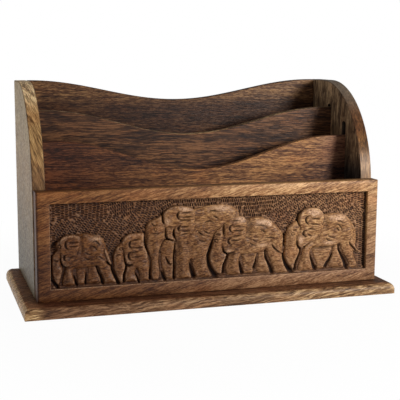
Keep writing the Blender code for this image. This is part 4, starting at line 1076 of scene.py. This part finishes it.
class Relief:
    """The carving on a grid of points: its height over the recess's floor, how far each point is
    figure and not ground, where stain and painted shade darken it, and where wear and painted
    highlights make it pale."""

    def __init__(self, length, height):
        self.length, self.height, self.frieze = length, height, length - FRIEZE_END_GAP
        self.x = np.linspace(0, length, int(round(length / CELL)) + 1)
        self.z = np.linspace(0, height, int(round(height / CELL)) + 1)
        shape = (len(self.z), len(self.x))
        foot = 1 - smooth_step(self.z, 0.4 * FOOT_HEIGHT, FOOT_HEIGHT)
        self.level = np.zeros(shape) + (GROUND_LEVEL + (FOOT_LEVEL - GROUND_LEVEL) * foot)[:, None]
        self.figure = np.zeros(shape)
        self.stain_and_shade = np.zeros(shape)
        self.wear_and_highlight = np.zeros(shape)
        self.uneven = 0.5 + 0.5 * soft_noise(shape, 6.0 / CELL, 8)

    def scaled(self, shares):
        return [(x * self.frieze, z * self.height) for x, z in shares]

    def window(self, line, margin):
        """The part of the grid near a line: its slices, its shape and its points."""
        (x0, z0), (x1, z1) = line.min(0) - margin, line.max(0) + margin
        columns = slice(*np.searchsorted(self.x, (x0, x1)))
        rows = slice(*np.searchsorted(self.z, (z0, z1)))
        grid_x, grid_z = np.meshgrid(self.x[columns], self.z[rows])
        return (rows, columns), grid_x.shape, np.column_stack([grid_x.ravel(), grid_z.ravel()])

    # Lays stain and painted shade, keeping the strongest at each place
    def lay_stain_and_shade(self, place, stain_and_shade):
        self.stain_and_shade[place] = np.maximum(self.stain_and_shade[place], stain_and_shade)

    def add_layer(self, kind, shares):
        """Lays a rounded plate over what is there, with a cut round its edge."""
        level, drop, radius, cut = LAYERS[kind]
        line = closed_curve(self.scaled(shares))
        place, shape, points = self.window(line, 3 * CUT_WIDTH)
        inside = inside_distance(points, line).reshape(shape)
        t = np.clip(inside / radius, 0, 1)
        top = level - drop * (1 - np.sqrt(1 - (1 - t) ** 2))
        beside = np.exp(-(np.minimum(inside, 0) / CUT_WIDTH) ** 2)
        share = smooth_step(inside, -EDGE_BLEND, EDGE_BLEND)
        uneven = self.uneven[place]
        self.level[place] = (self.level[place] - 2 * cut * uneven * beside) * (1 - share) + top * share
        over = self.figure[place]
        # Stain and painted shade along the edge, over figure laid before
        pooled_stain_and_shade = LAYER_STAIN_AND_SHADE * 2 * uneven * over * np.exp(-(inside / CUT_WIDTH) ** 2)
        self.stain_and_shade[place] *= 1 - share
        self.lay_stain_and_shade(place, pooled_stain_and_shade)
        self.figure[place] = np.maximum(over, share)

    def cut(self, shares, width, depth, stain_and_shade, taper=0.6):
        """A knife cut along a line, tapered at its ends."""
        line = open_curve(self.scaled(shares))
        place, shape, points = self.window(line, 3 * width)
        gap, along = line_distance(points, line)
        ends = np.clip(np.sin(np.pi * np.clip(along, 0.02, 0.98)), 0, 1) ** taper
        groove = (ends * np.exp(-(gap / (width * (0.55 + 0.45 * ends))) ** 2)).reshape(shape)
        self.level[place] -= depth * groove
        self.lay_stain_and_shade(place, stain_and_shade * groove)

    def wedge(self, foot_width, shares):
        """A flat-bottomed cut that starts as a fine line and widens and deepens to its foot."""
        line = open_curve(self.scaled(shares))
        place, shape, points = self.window(line, 2 * foot_width)
        gap, along = line_distance(points, line)
        width = foot_width * (0.40 + 0.80 * along)
        start = np.clip(along / 0.15, 0, 1)
        groove = (start * np.exp(-(gap / width) ** 3)).reshape(shape)
        deep = (WEDGE_DEPTH * (0.35 + 0.65 * along)).reshape(shape)
        self.level[place] -= deep * groove
        # The wedge is painted dark as the shade deep in the cut, with stain
        self.lay_stain_and_shade(place, groove)

    def swell(self, field, x, z, across, up, amount):
        """Adds a soft oval swelling, or with a negative amount a hollow, to a field."""
        centre = np.array([[x * self.frieze, z * self.height]])
        reach = np.array([across * self.frieze, up * self.height])
        place, shape, points = self.window(np.vstack([centre - 2 * reach, centre + 2 * reach]), 0.0)
        gap = (((points - centre) / reach) ** 2).sum(1)
        field[place] += (amount * np.exp(-gap * 1.2)).reshape(shape)

    def ring(self, x, z):
        """An eye: a small bead in a ring."""
        centre = np.array([x * self.frieze, z * self.height])
        place, shape, points = self.window(centre[None, :], EYE_REACH)
        gap = np.sqrt(((points - centre) ** 2).sum(1)).reshape(shape)
        bead = np.exp(-(gap / BEAD_RADIUS) ** 2)
        rim = np.exp(-((gap - RING_RADIUS) / RING_WIDTH) ** 2)
        self.level[place] += BEAD_HEIGHT * bead - RING_DEPTH * rim
        self.lay_stain_and_shade(place, RING_STAIN_AND_SHADE * rim)

    def gouge_ground(self, seed=11):
        """Short gouge strokes over the ground, in patches of even rows as a carver lays them."""
        rng = np.random.default_rng(seed)
        grooves = np.zeros(self.level.shape)
        centres = np.array([self.scaled([patch[:2]])[0] for patch in STROKE_DIRECTIONS])
        reach = int(self.height / STROKE_PITCH)
        for rank, (_, _, degrees) in enumerate(STROKE_DIRECTIONS):
            turn = math.radians(degrees)
            along, side = heading(turn), heading(turn + math.pi / 2)
            for i in range(-reach, reach + 1):
                for j in range(-reach, reach + 1):
                    jitter = rng.normal(0, STROKE_SPREAD, 2)
                    bend = turn + rng.normal(0, STROKE_TURN_SPREAD)
                    forward = i * STROKE_ROW + jitter[0] * 2
                    aside = (j + 0.5 * (i % 2)) * STROKE_PITCH + jitter[1]
                    place = centres[rank] + forward * along + aside * side
                    if self.is_ground(place) and nearest(centres, place) == rank:
                        self.stroke(grooves, place, bend, rng)
        ground = 1 - smooth_step(self.figure, 0.2, 0.8)
        self.level -= grooves * STROKE_DEPTH * ground
        stroked = smooth_step(blurred(grooves, int(round(1.2 / CELL))), 0.05, 0.25)
        everywhere = slice(None)
        # Stain and painted shade in the strokes' grooves, and darkening where no stroke lies
        self.lay_stain_and_shade(everywhere, STROKE_STAIN_AND_SHADE * smooth_step(grooves, 0.30, 0.85) * ground)
        plain = np.where(self.z < LEG_HEIGHT_share * self.height, *PLAIN_INK)[:, None]
        self.lay_stain_and_shade(everywhere, plain * (1 - stroked) * ground)
        # Wear and painted highlights on the ridges between strokes
        ridges = (1 - smooth_step(grooves, 0.0, 0.40)) * ground * stroked
        self.wear_and_highlight = np.maximum(self.wear_and_highlight, RIDGE_WEAR_AND_HIGHLIGHT * self.uneven * ridges)

    def is_ground(self, place):
        """Whether a stroke belongs here: not on an elephant, and not between its legs."""
        x, z = place
        if not (0 < x < self.length and 0 < z < self.height):
            return False
        between_legs = z < LEG_HEIGHT_share * self.height and x < LEG_REACH_share * self.length
        return not between_legs and self.figure[int(z / CELL), int(x / CELL)] < 0.4

    def stroke(self, grooves, place, turn, rng):
        """One gouge stroke, flat along its middle and shallower towards its ends and sides."""
        along, side = heading(turn), heading(turn + math.pi / 2)
        reach = STROKE_LENGTH / 2 * rng.uniform(0.85, 1.12)
        deep = rng.uniform(0.75, 1.1)
        where, shape, points = self.window(place[None, :], reach + STROKE_WIDTH)
        offset = points - place
        ends = np.clip(1 - (np.abs(offset @ along) / reach) ** 4, 0, 1)
        groove = deep * ends * np.clip(1 - (offset @ side / STROKE_WIDTH) ** 2, 0, 1)
        grooves[where] = np.maximum(grooves[where], groove.reshape(shape))

    def tool_marks(self):
        """Low facets left by the gouge on the rounded bodies, and fine roughness, over the figures
        only.
        """
        shape = self.level.shape
        facets = soft_noise(shape, 5.0 / CELL, 3) + 0.6 * soft_noise(shape, 2.4 / CELL, 4)
        grain = soft_noise(shape, 1.2 / CELL, 5) + 0.6 * soft_noise(shape, 2.0, 6)
        self.level += (FACET_HEIGHT * facets + ROUGHNESS_HEIGHT * grain) * self.figure


def heading(turn):
    return np.array([math.cos(turn), math.sin(turn)])


def nearest(centres, place):
    return int(((centres - place) ** 2).sum(1).argmin())


def carve(length, height):
    relief = Relief(length, height)
    for elephant in ELEPHANT_shares:
        for kind, shares in elephant:
            relief.add_layer(kind, shares)
    for oval in BULGE_shares:
        relief.swell(relief.level, *oval, amount=SWELL_HEIGHT)
    for oval in HOLLOW_shares:
        relief.swell(relief.level, *oval, amount=-SWELL_HEIGHT)
        relief.swell(relief.stain_and_shade, *oval, amount=HOLLOW_STAIN_AND_SHADE)
    # Wear and painted highlights on the high places, stronger to the right
    for x, z, across, up in WORN_AND_LIT_shares:
        relief.swell(relief.wear_and_highlight, x, z, across, up, amount=0.85 + 0.45 * x)
    knife_cuts = ((CREASE_shares, CREASE), (CRESCENT_shares, CRESCENT), (DEEP_CUT_shares, DEEP_CUT))
    for lines, knife in knife_cuts:
        for shares in lines:
            relief.cut(shares, **knife)
    for foot_width, shares in WEDGE_shares:
        relief.wedge(foot_width, shares)
    for x, z in EYE_shares:
        relief.ring(x, z)
    relief.gouge_ground()
    relief.tool_marks()
    relief.level = np.clip(relief.level, LOWEST_LEVEL, RECESS_DEPTH)
    return relief


def panel_lines(low, high, border_low, border_high, inner):
    """Grid lines over one direction of the board: a few over each border, then the carving's."""
    edge = PANEL_EDGE / MM
    first = [low, low + 0.25 * edge, low + edge, low + border_low / 2, low + border_low - RECESS_ARRIS]
    last = [high - border_high + RECESS_ARRIS, high - border_high / 2, high - edge,
            high - 0.25 * edge, high]
    wall_low, wall_high = low + border_low, high - border_high
    middle = inner + wall_low
    middle = middle[(middle > wall_low + WALL_WIDTH) & (middle < wall_high - WALL_WIDTH)]
    return np.concatenate([first, [wall_low, wall_low + WALL_WIDTH], middle,
                           [wall_high - WALL_WIDTH, wall_high], last])


def sample(relief, field, grid_x, grid_z):
    """A field of the relief at any points of the recess, straight between its grid points."""
    column = np.clip(grid_x / relief.length * (len(relief.x) - 1), 0, len(relief.x) - 1.001)
    row = np.clip(grid_z / relief.height * (len(relief.z) - 1), 0, len(relief.z) - 1.001)
    c, r = column.astype(int), row.astype(int)
    dc, dr = column - c, row - r
    return (field[r, c] * (1 - dc) * (1 - dr) + field[r, c + 1] * dc * (1 - dr)
            + field[r + 1, c] * (1 - dc) * dr + field[r + 1, c + 1] * dc * dr)


def panel_fields(relief, xs, zs, low, high):
    """At each grid point of the board's face: how far it stands over the recess's floor, and its
    carve colour: red for stain and painted shade in the cuts, green for wear and painted highlights,
    blue for the hollows' painted shade and stain, and alpha for all that is carved."""
    grid_x, grid_z = np.meshgrid(xs, zs)
    left, right = low[0] + RECESS_BORDERS["left"], high[0] - RECESS_BORDERS["right"]
    bottom, top = low[1] + RECESS_BORDERS["bottom"], high[1] - RECESS_BORDERS["top"]
    walls = [grid_x - left, right - grid_x, grid_z - bottom, top - grid_z]
    into = np.minimum.reduce(walls)
    carved = into > WALL_WIDTH * 0.5
    place = grid_x - left, grid_z - bottom
    heights = np.where(carved, sample(relief, relief.level, *place), RECESS_DEPTH)
    heights[np.abs(into) < WALL_WIDTH * 0.5] = RECESS_DEPTH - RECESS_ARRIS * 0.5
    rim = np.minimum.reduce([grid_x - low[0], high[0] - grid_x, grid_z - low[1], high[1] - grid_z])
    edge = PANEL_EDGE / MM
    near = np.clip(1 - rim / edge, 0, 1)
    heights -= edge * (1 - np.sqrt(1 - near ** 2))
    over = heights - blurred(heights, int(round(1.3 / CELL)))
    wide = blurred(heights, int(round(4.0 / CELL))) - heights
    figure = sample(relief, relief.figure, *place)
    # Painted shade, with stain, where a point lies below its surroundings
    hollow = (np.clip(-over * 0.50, 0, 1) + np.clip(wide * 0.13, 0, 0.40)) * (0.6 + 0.4 * figure)
    # Stain and painted shade from the carving, and stain and painted shadow along the recess's walls
    pooled_stain_and_shade = np.maximum.reduce([
        sample(relief, relief.stain_and_shade, *place),
        *(share * np.exp(-(wall / reach) ** 2) for wall, (share, reach) in zip(walls, WALL_STAIN_AND_SHADOW)),
    ])
    # Wear, and painted highlights on the carving's ridges
    wear_and_highlight = np.maximum(sample(relief, relief.wear_and_highlight, *place), np.clip(over * 0.9 - 0.1, 0, 0.7))
    masks = [np.clip(mask, 0, 1) * carved for mask in (pooled_stain_and_shade, wear_and_highlight, hollow)]
    # Painted highlight along the arris of the recess's left and bottom walls
    lit_arris = (np.abs(np.minimum(walls[0], walls[2])) < WALL_WIDTH / 2) & (into > -WALL_WIDTH / 2)
    masks[1][lit_arris] = 1.0
    return heights, np.stack([*masks, carved * (1 - 0.68 * figure)], -1)


def grid_faces(rows, columns):
    corner = (np.arange(rows - 1)[:, None] * columns + np.arange(columns - 1)).ravel()
    return np.stack([corner, corner + 1, corner + columns + 1, corner + columns], 1)


def band_faces(near, far):
    """Faces between two closed loops of points."""
    return np.stack([np.roll(near, -1), near, far, np.roll(far, -1)], 1).tolist()


def rim_loop(rows, columns):
    """The grid's outer points in order, starting at the bottom left."""
    bottom = np.arange(columns)
    right = np.arange(1, rows) * columns + columns - 1
    top = (rows - 1) * columns + np.arange(columns - 2, -1, -1)
    left = np.arange(rows - 2, 0, -1) * columns
    return np.concatenate([bottom, right, top, left])


def make_front_panel(material):
    """The front board: a fine grid over its face, closed by a rim and a back."""
    low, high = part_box("front_panel")
    low_mm = (low[0] / MM, low[2] / MM)
    high_mm = (high[0] / MM, high[2] / MM)
    left, right, top, bottom = RECESS_BORDERS.values()
    relief = carve(high_mm[0] - low_mm[0] - left - right, high_mm[1] - low_mm[1] - top - bottom)
    xs = panel_lines(low_mm[0], high_mm[0], left, right, relief.x)
    zs = panel_lines(low_mm[1], high_mm[1], bottom, top, relief.z)
    heights, masks = panel_fields(relief, xs, zs, low_mm, high_mm)
    grid_x, grid_z = np.meshgrid(xs, zs)
    depth = low[1] / MM + RECESS_DEPTH - heights
    points = np.stack([grid_x.ravel(), depth.ravel(), grid_z.ravel()], 1) * MM
    loop = rim_loop(len(zs), len(xs))
    back = points[loop].copy()
    back[:, 1] = high[1] - PANEL_EDGE
    inset = back.copy()
    inset[:, 1] = high[1]
    inset[:, 0] = np.clip(inset[:, 0], low[0] + PANEL_EDGE, high[0] - PANEL_EDGE)
    inset[:, 2] = np.clip(inset[:, 2], low[2] + PANEL_EDGE, high[2] - PANEL_EDGE)
    count, rim = len(points), len(loop)
    vertices = np.vstack([points, back, inset])
    back_loop = count + np.arange(rim)
    inset_loop = back_loop + rim
    faces = grid_faces(len(zs), len(xs)).tolist() + band_faces(loop, back_loop)
    faces += band_faces(back_loop, inset_loop)
    faces.append(inset_loop[::-1].tolist())
    mesh = bpy.data.meshes.new("front_panel_carved")
    mesh.from_pydata(vertices.tolist(), [], faces)
    layer = mesh.color_attributes.new("carve", "FLOAT_COLOR", "POINT")
    plain = np.tile((0.0, 0.0, 0.0, 1.0), (2 * rim, 1))
    layer.data.foreach_set("color", np.vstack([masks.reshape(-1, 4), plain]).ravel())
    mesh.validate()
    item = new_object("front_panel_carved", mesh)
    tidy_corners(mesh)
    mesh.shade_smooth()
    mesh.set_sharp_from_angle(angle=CARVED_SMOOTH_ANGLE)
    return finish_piece(item, "front_panel", material)


def tidy_corners(mesh):
    """Merges the points that the inset brings together at the back's corners."""
    work = bmesh.new()
    work.from_mesh(mesh)
    bmesh.ops.remove_doubles(work, verts=work.verts, dist=0.001 * MM)
    bmesh.ops.recalc_face_normals(work, faces=work.faces)
    work.to_mesh(mesh)
    work.free()


# Stage

def make_floor():
    """A pale floor that fades into the white ground, and still shows a soft shadow."""
    bpy.ops.mesh.primitive_plane_add(size=12.0, location=(0, 0, 0))
    floor = bpy.context.object
    floor.name = "floor"
    material = bpy.data.materials.new("pale_floor")
    g = Graph(material)
    rays = g.add("ShaderNodeLightPath")
    reach = g.add("ShaderNodeVectorMath", operation="LENGTH")
    g.link(g.place(), reach.inputs[0])
    far = g.span(reach.outputs["Value"], 0.18, 0.40, 0.965, 1.0)
    seen = g.math("MAXIMUM", rays.outputs["Is Camera Ray"], rays.outputs["Is Glossy Ray"])
    paper = g.add("ShaderNodeBsdfDiffuse")
    paper.inputs["Color"].default_value = (FLOOR_GREY, FLOOR_GREY, FLOOR_GREY, 1)
    white = g.add("ShaderNodeEmission")
    white.inputs["Color"].default_value = (1, 1, 1, 1)
    mixed = g.add("ShaderNodeMixShader")
    g.link(g.math("MULTIPLY", far, seen), mixed.inputs[0])
    g.link(paper.outputs[0], mixed.inputs[1])
    g.link(white.outputs[0], mixed.inputs[2])
    g.link(mixed.outputs[0], g.output.inputs["Surface"])
    floor.data.materials.append(material)


def make_world():
    """White behind the rack, and an even soft light all round."""
    world = bpy.data.worlds.new("studio")
    bpy.context.scene.world = world
    world.use_nodes = True
    nodes, links = world.node_tree.nodes, world.node_tree.links
    nodes.clear()
    rays = nodes.new("ShaderNodeLightPath")
    strength = nodes.new("ShaderNodeMapRange")
    strength.inputs["To Min"].default_value = AMBIENT_LIGHT
    strength.inputs["To Max"].default_value = 1.0
    links.new(rays.outputs["Is Camera Ray"], strength.inputs["Value"])
    back = nodes.new("ShaderNodeBackground")
    back.inputs["Color"].default_value = (1, 1, 1, 1)
    links.new(strength.outputs[0], back.inputs["Strength"])
    out = nodes.new("ShaderNodeOutputWorld")
    links.new(back.outputs[0], out.inputs["Surface"])


def add_lamp(name, place, aim, size, power, colour):
    lamp = bpy.data.lights.new(name, "AREA")
    lamp.shape = "DISK"
    lamp.size = size
    lamp.energy = power
    lamp.color = colour
    item = new_object(name, lamp)
    item.location = place
    item.rotation_euler = (Vector(aim) - Vector(place)).to_track_quat("-Z", "Y").to_euler()


def make_camera():
    camera = bpy.data.cameras.new("camera")
    camera.sensor_width = SENSOR_WIDTH
    camera.lens = FOCAL_PIXELS * SENSOR_WIDTH / PHOTO_PIXELS
    camera.clip_start = NEAR_CLIP
    item = new_object("camera", camera)
    item.location = CAMERA_PLACE
    item.rotation_euler = Euler([math.radians(turn) for turn in CAMERA_TURN_DEGREES], "XYZ")
    bpy.context.scene.camera = item


def make_stage():
    bpy.context.scene.view_settings.view_transform = "Standard"
    make_camera()
    make_floor()
    make_world()
    for name, values in LAMPS.items():
        add_lamp(name, *values)


# The rack

def dress_fasteners():
    steel = metal("screw_steel")
    beech = wood("dowel_beech", "x", (5, 9, 2), BEECH_WOOD, rings=2.0, gloss=0.6, coat=0.0)
    for name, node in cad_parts.items():
        if "screw" in name:
            dress(node, steel)
        elif "dowel" in name:
            dress(node, beech)


def build():
    make_stage()
    make_base(wood("base_wood", "x", (40, 310, 12), BASE_WOOD, rings=6.0, pith=(-20, 18),
                   tilt=-0.16, wave=7.0, figure=0.8, shades=BASE_SHADES))
    # Raw-cut wood with painted shade, for the housings
    raw_and_shade = wood("raw_cut_shaded_wood", "z", (15, 60, -40), RAW_CUT_AND_SHADE_WOOD, gloss=0.7, coat=0.0)
    left_wood = wood("left_side_wood", "z", (120, -90, 45), LEFT_SIDE_WOOD, rings=7.0,
                     pith=(30, 20), tilt=-0.30, figure=0.9, slack=0.15,
                     shades=LEFT_SIDE_SHADES, edge_shades=LEFT_EDGE_SHADES)
    right_wood = wood("right_side_wood", "z", (-60, 40, 400), RIGHT_SIDE_WOOD, rings=7.0,
                      pith=(-30, 25), tilt=0.05, figure=0.6, slack=0.4,
                      shades=RIGHT_SIDE_SHADES, edge_shades=RIGHT_EDGE_SHADES)
    make_side("left_side", left_wood, raw_and_shade)
    make_side("right_side", right_wood, raw_and_shade)
    back_wood = wood("back_wood", "x", (-210, 30, 77), BACK_WOOD, rings=11.0, fleck=0.20,
                     shades=BACK_SHADES)
    middle_wood = wood("middle_divider_wood", "x", (330, -44, 150), MIDDLE_DIVIDER_WOOD, rings=10.0,
                       shades=MIDDLE_DIVIDER_SHADES)
    front_wood = wood("front_divider_wood", "x", (60, 230, -20), FRONT_DIVIDER_WOOD, rings=12.0,
                      fleck=0.20, shades=FRONT_DIVIDER_SHADES)
    make_cross_board("back_panel", back_wood)
    make_cross_board("middle_divider", middle_wood)
    make_cross_board("front_divider", front_wood)
    make_front_panel(wood("front_panel_wood", "x", (90, 70, 210), PANEL_WOOD, rings=8.0,
                          pith=(40, -28), tilt=-0.30, wave=4.0, figure=0.5, carved=True,
                          fleck=0.26, shades=PANEL_SHADES))
    dress_fasteners()


build()
